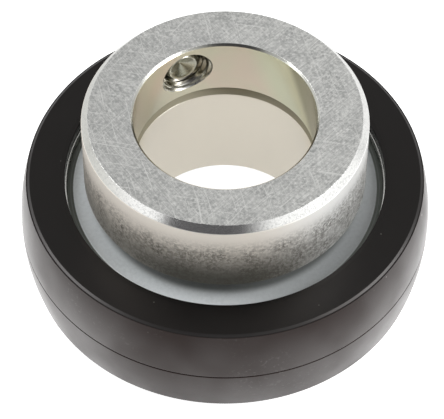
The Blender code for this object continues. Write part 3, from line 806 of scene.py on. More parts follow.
def zinc_finish():
    """Clear passivated zinc on the collar, in zones.

    The top face is brushed crosswise and has long scratches, and painted shade darkens it towards the left.
    The chamfers are smooth with dull flecks, and painted shade darkens the outer chamfer on the left. The
    side is warm on the left and, as painted light, pale on the right, with a painted dark reflection low down
    that is fainter at the sides, and dark flecks below. The bore is smooth, with warm and greenish tints and
    olive painted shade at its sides. The tapped hole has painted shade, lighter in patches at its mouth.
    """
    colours, collar = settings_of("finishes", "collar")
    finish = machined_finish(
        "Clear zinc", colours.zinc, colours.zinc_shade,
        rough=0.26, marks=8000.0, scratch_share=0.075, grain_size=0.0006,
    )
    span, times, noise, mix = finish.span, finish.times, finish.noise, finish.mix
    radius, level, eastward = finish.radius, finish.axes["Z"], finish.axes["X"]
    top_bore = collar.bore_radius
    chamfer_end = COLLAR_TOP - collar.top_chamfer_height

    brushed = finish.effect("Crossed brushing", Width=0.00021, Length=0.0100)["Value"]
    long_scratches = finish.effect(
        "Handling scratches", Width=0.00024, Length=0.022, Share=0.165, Turn=1.9
    )["Mask"]
    # Dull brushing, plus painted shade from the span over X that darkens the top face towards the left
    finish.paint(finish.plus(brushed, -0.68, span(eastward, -0.025, 0.025, 0.785, 0.63)), colours.zinc_shade)
    finish.paint(times(long_scratches, 0.7), colours.zinc_bright)

    wall = span(radius, COLLAR_RADIUS - 0.0002, COLLAR_RADIUS - 0.00005)
    low = span(level, COLLAR_TOP - 0.0030, COLLAR_TOP - 0.0085)
    flecks = span(noise(1500.0, 6.0, 0.8), 0.42, 0.56)
    gathered = span(noise(260.0, 3.0, 0.6), 0.30, 0.60, 0.35, 1.0)
    stain = times(flecks, finish.plus(brushed, -0.35, 1.0), gathered, low)
    # Painted light makes the side pale on the right; a painted dark reflection of the rubber darkens it low
    # down, less where it is painted lit
    light_on_right = span(eastward, 0.004, 0.022)
    lit = finish.most(times(light_on_right, 0.75), span(eastward, -0.008, -0.022, 0.0, 0.40))
    reflection_low = times(span(level, COLLAR_TOP - 0.0050, COLLAR_BOTTOM + 0.0015), finish.rest(lit))
    plating = mix(reflection_low, mix(light_on_right, colours.zinc_wall, colours.zinc_painted_light), colours.zinc_painted_reflection)
    finish.paint(wall, mix(times(stain, 0.95), plating, colours.zinc_stain), 0.40)

    below_top = span(level, COLLAR_TOP - 0.00002, COLLAR_TOP - 0.00006)
    above = span(level, chamfer_end - 0.00004, chamfer_end + 0.00001)
    bevels = times(below_top, above, finish.rest(wall))
    dull = span(noise(2200.0, 4.0, 0.7), 0.46, 0.66)
    middle = (top_bore + COLLAR_RADIUS) / 2
    # Painted shade: the outer chamfer is darker towards the left
    outer_bevel_left_shade = mix(span(eastward, -0.024, -0.015), colours.zinc_bevel, colours.bevel_pale)
    marked = mix(times(dull, 0.32), outer_bevel_left_shade, colours.zinc_shade)
    inner = span(radius, middle + 0.0001, middle - 0.0001)
    finish.paint(bevels, mix(inner, marked, colours.bevel_inner), finish.plus(dull, 0.06, 0.15))

    bore = span(radius, top_bore + 0.00012, top_bore + 0.00002)
    patches = span(noise(75.0, 2.0, 0.5), 0.38, 0.62)
    across = finish.plus(level, 0.35, eastward)
    greener = finish.most(times(patches, 0.5), times(span(across, 0.016, 0.022), 0.8))
    lining = mix(greener, colours.bore_warm, colours.bore_green)
    # Painted shade in olive on the bore's right and, fainter, on its left
    bore_side_shade = finish.most(span(across, 0.0255, 0.0275), span(across, 0.000, -0.006, 0.0, 0.6))
    finish.paint(bore, mix(bore_side_shade, lining, colours.bore_olive_shade), 0.22)

    behind_bore = span(radius, top_bore + 0.00012, top_bore + 0.00030)
    inward = span(radius, COLLAR_RADIUS - 0.0002, COLLAR_RADIUS - 0.0004)
    hole = times(behind_bore, inward, span(level, chamfer_end, chamfer_end - 0.0002))
    mouth = span(radius, top_bore + collar.mouth_depth, top_bore + 0.6 * collar.mouth_depth)
    worn = finish.mix_value(span(noise(3200.0, 4.0, 0.7), 0.40, 0.60), 1.0, 0.6)
    # Painted shade darkens the tapped hole, lighter in patches towards its mouth
    tapped = mix(times(mouth, worn), colours.zinc_hole_shade, colours.zinc_bevel)
    finish.paint(hole, tapped, finish.plus(mouth, 0.08, 0.17))

    face = span(level, COLLAR_TOP - 0.00006, COLLAR_TOP - 0.00002)
    metallic = finish.mix_value(wall, finish.mix_value(face, 1.0, 0.8), 0.6)
    finish.link(metallic, finish.sockets["Metallic"])
    smooth = finish.most(bore, hole, times(bevels, 0.6))
    finish.height = times(finish.height, finish.rest(smooth))
    return finish.dress(colours.zinc_relief)


def steel_finish():
    """Ground bearing steel, warm in the inner ring's bore.

    The inner ring's chamfer and end face are left as turned: scaled, with painted shade at the sides.
    """
    colours, rings = settings_of("finishes", "rings")
    finish = machined_finish(
        "Ground steel", colours.steel, scaled(colours.steel, 0.92),
        rough=0.16, marks=14000.0, scratch_share=0.01, grain_size=0.0012,
    )
    off_bore = finish.span(finish.radius, rings.bore_radius + 0.00002, rings.bore_radius + 0.0001)
    inner = finish.span(finish.radius, SHOULDER_RADIUS - 0.0004, SHOULDER_RADIUS - 0.0006)
    start = INNER_END - rings.journal_start
    as_turned = finish.times(off_bore, inner, finish.span(finish.axes["Z"], start, start + 0.0002))
    ring_side_shade = finish.span(finish.math("ABSOLUTE", finish.axes["X"]), 0.005, 0.015)
    finish.paint(finish.rest(off_bore), colours.bore_steel)
    # Painted shade darkens the scaled chamfer at the sides
    finish.paint(as_turned, finish.mix(ring_side_shade, colours.scale, colours.scale_shade_colour), 0.60)
    finish.roughness = finish.mix_value(off_bore, 0.30, finish.roughness)
    finish.link(finish.mix_value(as_turned, 1.0, 0.25), finish.sockets["Metallic"])
    finish.height = finish.times(finish.height, off_bore)
    return finish.dress(colours.steel_relief)


def sheet_finish():
    """Zinc-plated sheet of the pressed washers.

    It is satin, lighter on the left and darker on the right as painted light and shade. Painted shade
    darkens it under the collar's edge, and a painted dark reflection darkens the bent flange, with a faint
    line along it.
    """
    colours, seals = settings_of("finishes", "seals")
    finish = machined_finish(
        "Plated sheet", colours.sheet, scaled(colours.sheet, 0.90),
        rough=0.34, marks=5000.0, scratch_share=0.03, grain_size=0.0007, metallic=0.15,
    )
    bend = WASHER_RADIUS - seals.flange
    flange = finish.span(finish.radius, bend + 0.00004, bend + 0.00018)
    line = finish.times(flange, finish.span(finish.away(finish.radius, bend + 0.00060), 0.00014, 0.00004))
    # Painted shade on the washer under the collar's edge
    under_collar_shade = finish.span(finish.radius, COLLAR_RADIUS - 0.0004, COLLAR_RADIUS - 0.0022)
    # Painted light and shade: the sheet is lighter on the left and darker on the right
    left_light_right_shade = finish.span(finish.axes["X"], -0.032, 0.032, 1.20, 0.70)
    finish.colour = finish.vector("MULTIPLY", finish.colour, left_light_right_shade)
    finish.paint(finish.times(under_collar_shade, 0.75), colours.sheet_shade_colour)
    # Painted dark reflection on the bent flange
    finish.paint(flange, colours.flange_reflection_colour)
    finish.paint(finish.times(line, 0.12), colours.sheet)
    return finish.dress(colours.sheet_relief)


def screw_finish():
    """Oiled steel of the grub screw."""
    colours = settings_of("finishes")
    finish = machined_finish(
        "Screw steel", colours.screw_steel, scaled(colours.screw_steel, 0.8),
        rough=0.20, marks=9000.0, scratch_share=0.02, grain_size=0.00015,
    )
    return finish.dress(colours.polish_relief)


def ball_finish():
    """Polished balls."""
    colours = settings_of("finishes")
    finish = machined_finish(
        "Polished steel", colours.ball_steel, scaled(colours.ball_steel, 0.93),
        rough=0.06, marks=3000.0, scratch_share=0.01, grain_size=0.0004,
    )
    return finish.dress(colours.polish_relief)


def rubber_finish(name, colour, rough, specular):
    """Moulded rubber with pores and dust."""
    finish = Finish(name, specular=specular)
    skin = finish.effect("Moulded skin", Pore_Size=0.00022, Cloud_Size=0.011, Dust_Share=0.03)
    speckled = finish.mix(finish.times(skin["Dust"], 0.35), colour, settings_of("finishes").dust)
    roughness = finish.plus(skin["Pores"], 0.08, finish.plus(skin["Cloud"], 0.06, rough))
    finish.start(speckled, roughness, skin["Pores"])
    return finish


def interliner_finish():
    """Black rubber of the interliner.

    The crown is brownish, glossy in clouds and scuffed. The bevel has a gloss that is fainter in front, and
    crumbs lie along its edge. The parting line and the flash line are dull.
    """
    colours, rubber = settings_of("finishes", "interliner")
    finish = rubber_finish("Moulded rubber", colours.rubber, rough=0.28, specular=0.27)
    span, times, radius = finish.span, finish.times, finish.radius
    edge = crown_edge(rubber)[0]
    bevel_start = edge - rubber.flash_width - rubber.bevel_width
    crown = span(radius, edge - 0.0001, edge)
    bevel = finish.math("SUBTRACT", span(radius, bevel_start - 0.0001, bevel_start + 0.0001), crown)
    fine = span(finish.noise(1300.0, 4.0, 0.7), 0.56, 0.66)
    scuffs = times(fine, span(finish.noise(70.0, 2.0, 0.6), 0.50, 0.66), times(crown, 0.30))
    along_edge = span(finish.away(radius, edge), 0.0006, 0.0002)
    crumbs = times(finish.specks(420.0, 0.05, 0.16, 0.10), along_edge)
    finish.paint(crown, colours.rubber_bloom)
    finish.paint(bevel, colours.rubber_bevel)
    finish.paint(scuffs, colours.scuff)
    finish.paint(crumbs, colours.crumb)

    parting = times(crown, span(finish.away(finish.axes["Z"], RACE_HEIGHT), 0.00016, 0.00008))
    flash = span(finish.away(radius, edge - rubber.flash_width / 2), 0.00016, 0.00008)
    line = finish.most(parting, flash)
    clouds = span(finish.noise(55.0, 2.0, 0.5), 0.35, 0.65, 0.12, 0.5)
    bevel_coat = times(bevel, clouds, span(finish.axes["Y"], -0.030, -0.0365, 1.0, 0.55))
    crown_coat = times(crown, finish.math("SUBTRACT", clouds, 0.10))
    coat = times(finish.math("ADD", bevel_coat, crown_coat), finish.rest(line))
    finish.link(coat, finish.sockets["Coat Weight"])
    finish.sockets["Coat Roughness"].default_value = 0.34
    finish.sockets["Specular Tint"].default_value = (1.0, 0.93, 0.90, 1.0)
    finish.roughness = finish.mix_value(line, finish.roughness, 0.9)
    return finish.dress(colours.rubber_relief)


def lip_finish():
    """Rubber of the seal lips."""
    colours = settings_of("finishes")
    finish = rubber_finish("Seal rubber", colours.seal_rubber, rough=0.42, specular=0.4)
    return finish.dress(colours.rubber_relief)


def polyamide_finish():
    """Natural polyamide of the moulded cage."""
    colours = settings_of("finishes")
    finish = Finish("Natural polyamide")
    skin = finish.effect("Moulded skin", Pore_Size=0.0004, Cloud_Size=0.006, Dust_Share=0.0)
    clouded = finish.mix(skin["Cloud"], colours.polyamide, scaled(colours.polyamide, 0.78))
    finish.start(clouded, finish.plus(skin["Pores"], 0.15, 0.38), skin["Pores"])
    return finish.dress(colours.polyamide_relief)


FINISH_MAKERS = {
    "Clear zinc": zinc_finish,
    "Ground steel": steel_finish,
    "Plated sheet": sheet_finish,
    "Screw steel": screw_finish,
    "Polished steel": ball_finish,
    "Moulded rubber": interliner_finish,
    "Seal rubber": lip_finish,
    "Natural polyamide": polyamide_finish,
}


def shared_finish(name):
    """One of the finishes, made when it is first needed."""
    return bpy.data.materials.get(name) or FINISH_MAKERS[name]()


# Pieces


def crown_edge(rubber):
    """Radius and height at which the crown meets the flash line."""
    height = RUBBER_HALF_WIDTH - rubber.bevel_drop
    centre = RUBBER_RADIUS - rubber.crown_radius
    return centre + math.sqrt(rubber.crown_radius**2 - height**2), height


class BEARING_OT_interliner(Operator):
    """Turn the rubber interliner: crown, fillets, wrapped lips and mould lines."""

    bl_idname = "bearing.interliner"
    bl_label = "Rubber interliner"

    def execute(self, context):
        general, rubber = settings_of("general", "interliner")
        crown_centre = RUBBER_RADIUS - rubber.crown_radius
        corner_radius, corner_height = crown_edge(rubber)
        share = np.linspace(-1.0, 1.0, rubber.crown_rows)
        gathered = LINE_EVENNESS * share + (1.0 - LINE_EVENNESS) * share**3
        heights = gathered * (corner_height - general.edge_rounding)
        radii = crown_centre + np.sqrt(rubber.crown_radius**2 - heights**2)
        parting = rubber.line_depth * np.exp(-((heights / rubber.line_width) ** 2))
        crown = run(radii - parting, heights)
        bevel_radius = corner_radius - rubber.flash_width
        seat_height = RING_HALF_WIDTH + rubber.seat_gap
        edge = FINE_EDGE * general.edge_rounding
        upper = np.concatenate([
            corner(corner_radius, corner_height, edge),
            corner(corner_radius - 0.5 * rubber.flash_width, corner_height - rubber.flash_depth, edge),
            corner(bevel_radius, corner_height, edge),
            corner(bevel_radius - rubber.bevel_width, RUBBER_HALF_WIDTH, rubber.bevel_rounding),
            corner(rubber.inner_radius + rubber.lip_bevel_width, RUBBER_HALF_WIDTH, SLOPE_ROUNDING),
            corner(rubber.inner_radius, RUBBER_HALF_WIDTH - rubber.lip_bevel_drop, rubber.inner_rounding),
            corner(rubber.inner_radius, seat_height, general.edge_rounding),
            corner(OUTER_RADIUS + rubber.seat_gap, seat_height, general.edge_rounding),
        ])
        patches = [ring(crown, upper, mirrored(upper))]
        add_piece("moulded_interliner", patches, "Moulded rubber", "outer", ["rubber_interliner"])
        return {"FINISHED"}


class BEARING_OT_outer_ring(Operator):
    """Turn the outer ring: raceway groove, lands, undercut seal recesses and rounded edges."""

    bl_idname = "bearing.outer_ring"
    bl_label = "Outer ring"

    def execute(self, context):
        general, rings, seals, rubber = settings_of("general", "rings", "seals", "interliner")
        edge = general.edge_rounding
        recess_radius = rings.mouth_radius + rings.recess_undercut
        land_radius = recess_radius - rings.recess_depth
        mouth_end = SEAL_FACE - rubber.seat_gap
        recess_floor = UPPER_INNER_WASHER_BOX[0].z - RACE_HEIGHT - seals.face_gap
        upper = np.concatenate([
            corner(OUTER_RADIUS, RING_HALF_WIDTH - rings.outer_chamfer, 3 * edge),
            corner(OUTER_RADIUS - rings.outer_chamfer, RING_HALF_WIDTH, 3 * edge),
            corner(rings.mouth_radius, RING_HALF_WIDTH, 2 * edge),
            corner(rings.mouth_radius, mouth_end, edge),
            corner(recess_radius, mouth_end - rings.recess_undercut / 2, edge),
            corner(recess_radius, recess_floor, edge),
            corner(land_radius, recess_floor, 2 * edge),
        ])
        centre_radius = PITCH_RADIUS + BALL_RADIUS + rings.race_clearance
        centre_radius -= rings.groove_conformity * 2 * BALL_RADIUS
        raceway = groove(centre_radius, land_radius, 1)
        patches = [ring(upper, raceway[::-1], mirrored(upper))]
        add_piece("ground_outer_ring", patches, "Ground steel", "outer", ["outer_ring"])
        return {"FINISHED"}


class BEARING_OT_seals(Operator):
    """Turn both seals: a pressed outer washer with a bent flange, a rubber lip and an inner washer."""

    bl_idname = "bearing.seals"
    bl_label = "Seals"

    def execute(self, context):
        general, seals = settings_of("general", "seals")
        edge = FINE_EDGE * general.edge_rounding
        top = SEAL_FACE
        flat_radius = WASHER_RADIUS - seals.flange
        bore_radius = SHOULDER_RADIUS + seals.bore_gap
        web_back = UPPER_WASHER_BOX[0].z - RACE_HEIGHT
        outer_washer = np.concatenate([
            corner(bore_radius, top, edge),
            corner(flat_radius, top, seals.bend_radius + seals.sheet),
            corner(WASHER_RADIUS, web_back + seals.sheet, 2 * edge),
            corner(WASHER_RADIUS, web_back, edge),
            corner(flat_radius - seals.face_gap, top - seals.sheet, seals.bend_radius),
            corner(bore_radius, top - seals.sheet, edge),
        ])
        lip_box = UPPER_LIP_BOX
        lip_radius = SHOULDER_RADIUS + seals.lip_clearance
        lip_top = lip_box[1].z - RACE_HEIGHT - seals.lip_contact
        lip_back = lip_box[0].z - RACE_HEIGHT
        lip = np.concatenate([
            corner(lip_box[1].y, lip_top, edge),
            corner(lip_box[1].y, lip_back, edge),
            corner(bore_radius, lip_back, edge),
            corner(lip_radius, lip_top, edge),
            corner(lip_radius, lip_top + seals.lip_contact, edge),
            corner((lip_radius + bore_radius) / 2, lip_top, edge),
        ])
        washer_box = UPPER_INNER_WASHER_BOX
        washer_bore = bore_radius + seals.inner_bore_step
        washer_top, washer_back = (washer_box[end].z - RACE_HEIGHT for end in (1, 0))
        inner_washer = np.concatenate([
            corner(washer_bore, washer_top, edge),
            corner(WASHER_RADIUS, washer_top, edge),
            corner(WASHER_RADIUS, washer_back, edge),
            corner(washer_bore, washer_back, edge),
        ])
        kinds = (
            ("outer_washer", outer_washer, "Plated sheet", "zinc_sheet"),
            ("lip", lip, "Seal rubber", "seal_rubber"),
            ("inner_washer", inner_washer, "Plated sheet", "zinc_sheet"),
        )
        for kind, points, finish, slot in kinds:
            for end, outline in (("upper", points), ("lower", mirrored(points))):
                name = f"{end}_{kind}_turned"
                add_piece(name, [ring(outline)], finish, "outer", [f"{end}_seal_{kind}"])
        return {"FINISHED"}


class BEARING_OT_balls(Operator):
    """Shape one polished ball in each pocket."""

    bl_idname = "bearing.balls"
    bl_label = "Balls"

    rows = 32

    def execute(self, context):
        angle = np.linspace(-math.pi / 2, math.pi / 2, self.rows + 1)
        outline = np.column_stack([
            BALL_RADIUS * np.cos(angle), BALL_RADIUS * np.sin(angle), np.zeros((self.rows + 1, 2))
        ])
        outline[[0, -1], 0] = 0.0
        points = turned(outline, 2 * self.rows)
        for index in range(BALL_COUNT):
            low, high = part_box(f"ball_{index + 1}")
            name = f"polished_ball_{index + 1}"
            patches = [patch(points + np.array((low + high) / 2), close_rows=True)]
            body = f"ball_body_{index + 1}"
            add_piece(name, patches, "Polished steel", body, [f"ball_{index + 1}"])
        return {"FINISHED"}


class BEARING_OT_cage(Operator):
    """Give the snap cage its moulded finish."""

    bl_idname = "bearing.cage"
    bl_label = "Ball cage"

    def execute(self, context):
        cage = frame["nodes"]["ball_cage"]
        cage.data.materials.clear()
        cage.data.materials.append(shared_finish("Natural polyamide"))
        return {"FINISHED"}


class BEARING_OT_inner_ring(Operator):
    """Turn the inner ring: bore, raceway groove and the eccentric journal under the collar."""

    bl_idname = "bearing.inner_ring"
    bl_label = "Inner ring"

    def execute(self, context):
        general, rings = settings_of("general", "rings")
        edge = general.edge_rounding
        journal_end = INNER_END - RACE_HEIGHT
        journal_start = journal_end - rings.journal_start
        bore = rings.bore_radius
        offset = rings.eccentricity
        centre_radius = PITCH_RADIUS - BALL_RADIUS - rings.race_clearance
        centre_radius += rings.groove_conformity * 2 * BALL_RADIUS
        patches = [ring(
            corner(bore, rings.bore_chamfer - RING_HALF_WIDTH, 2 * edge),
            corner(bore + rings.bore_chamfer, -RING_HALF_WIDTH, 2 * edge),
            corner(SHOULDER_RADIUS - rings.shoulder_chamfer, -RING_HALF_WIDTH, edge),
            corner(SHOULDER_RADIUS, rings.shoulder_chamfer - RING_HALF_WIDTH, edge),
            groove(centre_radius, SHOULDER_RADIUS, -1),
            corner(SHOULDER_RADIUS, journal_start, edge),
            corner(rings.journal_radius, journal_start, edge, offset),
            corner(rings.journal_radius, journal_end - rings.journal_chamfer, edge, offset),
            corner(rings.journal_radius - rings.journal_chamfer, journal_end, edge, offset),
            corner(bore + rings.bore_chamfer, journal_end, 2 * edge),
            corner(bore, journal_end - rings.bore_chamfer, 2 * edge),
        )]
        add_piece("ground_inner_ring", patches, "Ground steel", "inner", ["inner_ring"])
        return {"FINISHED"}


def hole_points(azimuth, along, across, up):
    """Points given along a hole's axis, across it and upwards, as X, Y and Z."""
    along, across, up = np.broadcast_arrays(along, across, up)
    return np.stack([
        along * math.cos(azimuth) - across * math.sin(azimuth),
        along * math.sin(azimuth) + across * math.cos(azimuth),
        up + HOLE_HEIGHT,
    ], axis=-1)


def window_loop(wall_radius, half_height, columns, half_columns, rows):
    """The closed edge of a wall grid's window, as (across, up), anticlockwise from its lower left corner."""
    angle = 2 * math.pi * np.arange(-half_columns, half_columns + 1) / columns
    across = wall_radius * np.sin(angle)
    up = np.linspace(-half_height, half_height, rows + 1)
    return np.concatenate([
        np.column_stack([across[:-1], np.full(len(across) - 1, up[0])]),
        np.column_stack([np.full(rows, across[-1]), up[:-1]]),
        np.column_stack([across[:0:-1], np.full(len(across) - 1, up[-1])]),
        np.column_stack([np.full(rows, across[0]), up[:0:-1]]),
    ])


def hole_patch(azimuth, wall_radius, window, rim_radius, steps):
    """The wall round a hole.

    Each point of the window's edge is joined to the rim point in its own direction. In between, (across,
    up) runs evenly, and the way along the hole's axis is the square root of wall radius squared less
    across squared.
    """
    direction = np.arctan2(window[:, 1], window[:, 0])
    rim = rim_radius[:, None] * np.column_stack([np.cos(direction), np.sin(direction)])
    share = np.linspace(0.0, 1.0, steps + 1)[:, None, None]
    flat = rim + (window - rim) * share
    along = np.sqrt(wall_radius**2 - flat[..., 0] ** 2)
    wear = np.zeros((steps + 1, 1))
    wear[0] = 1.0
    return patch(hole_points(azimuth, along, flat[..., 0], flat[..., 1]), wear, close_columns=True)


def settle_rim(wall_radius, direction, cone):
    """Rim radius where a countersink's cone meets the round wall, found by repeated substitution."""
    radius = np.full(direction.shape, cone(wall_radius))
    for _ in range(SETTLING_ROUNDS):
        radius = cone(np.sqrt(wall_radius**2 - (radius * np.cos(direction)) ** 2))
    return radius


def thread_form(along, direction, pitch):
    """Thread height from 0 to 1: a triangle wave over the helix, with flats at crest and root."""
    turns = along / pitch - direction / (2 * math.pi)
    wave = np.abs(2 * (turns % 1.0) - 1)
    return np.clip((wave - THREAD_FLAT) / THREAD_SLOPE, 0.0, 1.0)


class BEARING_OT_collar(Operator):
    """Turn the locking collar, and open its walls for the threaded hole and the drift hole."""

    bl_idname = "bearing.collar"
    bl_label = "Locking collar"

    def outline(self):
        """The collar's section, with extra rows where the walls have windows."""
        general, rings, collar = settings_of("general", "rings", "collar")
        offset = rings.eccentricity
        edge = general.edge_rounding
        floor = COLLAR_BOTTOM + collar.recess_depth
        rows = collar.window_rows + 1
        outer_rows = np.linspace(-collar.outer_window, collar.outer_window, rows)
        bore_rows = np.linspace(collar.bore_window, -collar.bore_window, rows)
        chamfer = collar.edge_chamfer
        return rounded(
            corner(COLLAR_RADIUS - chamfer, COLLAR_BOTTOM, edge),
            corner(COLLAR_RADIUS, COLLAR_BOTTOM + chamfer, edge),
            run(COLLAR_RADIUS, HOLE_HEIGHT + outer_rows),
            corner(COLLAR_RADIUS, COLLAR_TOP - collar.top_chamfer_height, edge),
            corner(COLLAR_RADIUS - collar.top_chamfer_width, COLLAR_TOP, edge),
            corner(collar.bore_radius + collar.bore_chamfer, COLLAR_TOP, edge),
            corner(collar.bore_radius, COLLAR_TOP - collar.bore_chamfer, edge),
            run(collar.bore_radius, HOLE_HEIGHT + bore_rows),
            corner(collar.bore_radius, floor + collar.floor_chamfer, edge),
            corner(collar.bore_radius + collar.floor_chamfer, floor, edge),
            corner(collar.recess_radius, floor, edge, offset),
            corner(collar.recess_radius, COLLAR_BOTTOM + chamfer, edge, offset),
            corner(collar.recess_radius + chamfer, COLLAR_BOTTOM, edge, offset),
        )

    def execute(self, context):
        general, collar, screw = settings_of("general", "collar", "screw")
        columns = general.columns
        outline = self.outline()
        half_columns = collar.window_columns
        drift_column = round(collar.drift_turn / (2 * math.pi) * columns)
        bore = collar.bore_radius

        keep = np.ones((columns, len(outline)), bool)
        openings = (
            (COLLAR_RADIUS, collar.outer_window, 0),
            (COLLAR_RADIUS, collar.outer_window, drift_column),
            (bore, collar.bore_window, 0),
        )
        around = np.arange(columns)
        for wall_radius, half_height, column in openings:
            on_wall = np.isclose(outline[:, 0], wall_radius, atol=SAME)
            inside = on_wall & (np.abs(outline[:, 1] - HOLE_HEIGHT) < half_height + SAME)
            covered = inside & np.roll(inside, -1)
            distance = (around - column + columns // 2) % columns - columns // 2
            beside = (distance >= -half_columns) & (distance < half_columns)
            keep &= ~(beside[:, None] & covered[None, :])
        patches = [turned_patch(outline, columns, SCREW_AZIMUTH, keep)]

        outer_window = window_loop(
            COLLAR_RADIUS, collar.outer_window, columns, half_columns, collar.window_rows
        )
        bore_window = window_loop(bore, collar.bore_window, columns, half_columns, collar.window_rows)
        outer_way = np.arctan2(outer_window[:, 1], outer_window[:, 0])
        bore_way = np.arctan2(bore_window[:, 1], bore_window[:, 0])

        def outer_cone(along):
            start = COLLAR_RADIUS - collar.outer_countersink
            return collar.hole_radius + np.maximum(along - start, 0.0)

        def inner_cone(along):
            slope = collar.mouth_width / collar.mouth_depth
            return collar.hole_radius + collar.mouth_width + slope * (bore - along)

        outer_rim = settle_rim(COLLAR_RADIUS, outer_way, outer_cone)
        bore_rim = settle_rim(bore, bore_way, inner_cone)
        patches.append(hole_patch(SCREW_AZIMUTH, COLLAR_RADIUS, outer_window, outer_rim, collar.patch_rows))
        patches.append(hole_patch(SCREW_AZIMUTH, bore, bore_window, bore_rim, collar.patch_rows))
        patches.append(self.tapped_tube(collar, screw, outer_rim, outer_way, bore_rim, bore_way, inner_cone))
        patches.extend(self.drift_hole(collar, screw, outer_window, outer_way))

        add_piece("turned_collar", patches, "Clear zinc", "collar", ["locking_collar"])
        return {"FINISHED"}

    def tapped_tube(self, collar, screw, outer_rim, outer_way, bore_rim, bore_way, inner_cone):
        """The threaded wall between both rims.

        Rows run evenly from the bore's rim to the outer rim. The radius is the largest of the countersink's
        cone and the thread, whose crest clears the screw's point at the end of its travel.
        """
        share = np.linspace(0.0, 1.0, collar.tube_rows + 1)[:, None]
        inner_start = np.sqrt(collar.bore_radius**2 - (bore_rim * np.cos(bore_way)) ** 2)
        outer_end = np.sqrt(COLLAR_RADIUS**2 - (outer_rim * np.cos(outer_way)) ** 2)
        along = inner_start + (outer_end - inner_start) * share
        swing = (outer_way - bore_way + math.pi) % (2 * math.pi) - math.pi
        way = bore_way + swing * share
        point = COLLAR_RADIUS - screw.set_back - screw.screw_length - SCREW_INWARD_TRAVEL
        clearance = collar.hole_radius - SCREW_RADIUS
        swept = screw.cup_radius + clearance + np.maximum(along - point, 0.0)
        crest = np.clip(swept, screw.minor_radius, collar.hole_radius)
        form = thread_form(along, way, screw.pitch)
        outer_fade = np.clip((outer_end - along) / (FADE_OUT * screw.pitch), 0.0, 1.0)
        threaded = crest + screw.thread_depth * form * outer_fade
        outer_cone = outer_rim - (outer_end - along)
        inner_fade = np.clip((along - inner_start) / (FADE_IN * screw.pitch), 0.0, 1.0)
        grooved_cone = inner_cone(along) + MOUTH_GROOVES * screw.thread_depth * form * inner_fade
        radius = np.maximum(np.maximum(grooved_cone, threaded), outer_cone)
        radius[0] = bore_rim
        radius[-1] = outer_rim
        wear = THREAD_WEAR * (1.0 - form)
        wear[[0, -1]] = 1.0
        points = hole_points(SCREW_AZIMUTH, along, radius * np.cos(way), radius * np.sin(way))
        return patch(points, wear, close_columns=True)

    def drift_hole(self, collar, screw, window, way):
        """The blind drift hole: its wall patch, straight wall and drill point."""
        azimuth = SCREW_AZIMUTH + collar.drift_turn

        def cone(along):
            return np.full_like(along, collar.drift_radius + DRIFT_LIP)

        rim = settle_rim(COLLAR_RADIUS, way, cone)
        rim_along = np.sqrt(COLLAR_RADIUS**2 - (rim * np.cos(way)) ** 2)
        floor = COLLAR_RADIUS - collar.drift_depth
        tip = floor - collar.drift_radius * math.tan(screw.cup_slope)
        radii = [DRIFT_LIP, 0.0, 0.0, 0.0, 0.0]
        levels = [
            rim_along,
            rim_along - DRIFT_LIP,
            rim_along - 3 * DRIFT_LIP,
            np.full_like(rim_along, floor + FLOOR_LEAD),
            np.full_like(rim_along, floor),
        ]
        along = np.stack([*levels, np.full_like(rim_along, tip)])
        radius = np.array([*(collar.drift_radius + extra for extra in radii), 0.0])[:, None]
        points = hole_points(azimuth, along, radius * np.cos(way), radius * np.sin(way))
        wear = np.array([1.0, 1.0, 0.0, 0.0, 0.0, 0.0])[:, None]
        return [
            hole_patch(azimuth, COLLAR_RADIUS, window, rim, collar.patch_rows),
            patch(points, wear, close_columns=True),
        ]


class BEARING_OT_grub_screw(Operator):
    """Cut the grub screw: cup point, thread and hexagon socket.

    The screw is a grid about its own axis. Along the thread the radius is the smaller of the outline's and
    the thread's. In the socket it is the flat's distance over the cosine of the angle from the flat.
    """

    bl_idname = "bearing.grub_screw"
    bl_label = "Grub screw"

    def execute(self, context):
        screw = settings_of("screw")
        outer_end = COLLAR_RADIUS - screw.set_back
        point = outer_end - screw.screw_length
        direction = 2 * math.pi * np.arange(screw.columns) / screw.columns
        cup_depth = screw.cup_radius * math.tan(screw.cup_slope)
        thread = np.linspace(point, outer_end, screw.rows + 1)[:, None]
        point_cone = screw.cup_radius + CUP_RIM + (thread - point)
        end_cone = SCREW_RADIUS - screw.end_chamfer + (outer_end - thread)
        form = thread_form(thread, direction, screw.pitch)
        threaded = SCREW_RADIUS - screw.thread_depth * (1.0 - form)
        body = np.minimum(np.minimum(point_cone, end_cone), threaded)
        cup = np.linspace(0.0, 1.0, CUP_ROWS)[:, None]
        cup_radius = screw.cup_radius * cup
        cup_along = point + cup_depth * (1.0 - cup)

        flat_angle = (direction + math.pi / 6) % (math.pi / 3) - math.pi / 6
        flats = screw.socket_across_flats / 2 / np.cos(flat_angle)
        deepest = outer_end - screw.socket_depth
        tip = deepest - screw.socket_across_flats / 2 * math.tan(screw.cup_slope)
        face_edge = SCREW_RADIUS - screw.end_chamfer - CUP_RIM
        socket = (
            (outer_end, np.full_like(flats, face_edge)),
            (outer_end, flats + 2 * SOCKET_LEAD),
            (outer_end, flats + SOCKET_LEAD),
            (outer_end - SOCKET_LEAD, flats),
            (outer_end - 2 * SOCKET_LEAD, flats),
            (deepest + SOCKET_LEAD, flats),
            (deepest, flats),
            (deepest - SOCKET_LEAD, np.full_like(flats, screw.socket_across_flats / 2)),
            (tip, np.zeros_like(flats)),
        )
        radius = np.concatenate([
            np.broadcast_to(cup_radius, (len(cup), screw.columns)), body, [row for _, row in socket]
        ])
        levels = np.concatenate([cup_along[:, 0], thread[:, 0], [level for level, _ in socket]])
        along = np.broadcast_to(levels[:, None], radius.shape)
        points = hole_points(SCREW_AZIMUTH, along, radius * np.cos(direction), radius * np.sin(direction))
        wear = np.zeros(radius.shape)
        wear[len(cup) - 1 : len(cup) + 1] = 1.0
        wear[len(cup) + 1 : len(cup) + len(body)] = THREAD_WEAR * form[1:]
        patches = [patch(points, wear, close_columns=True)]
        add_piece("threaded_grub_screw", patches, "Screw steel", "screw", ["grub_screw"])
        return {"FINISHED"}


# Stage


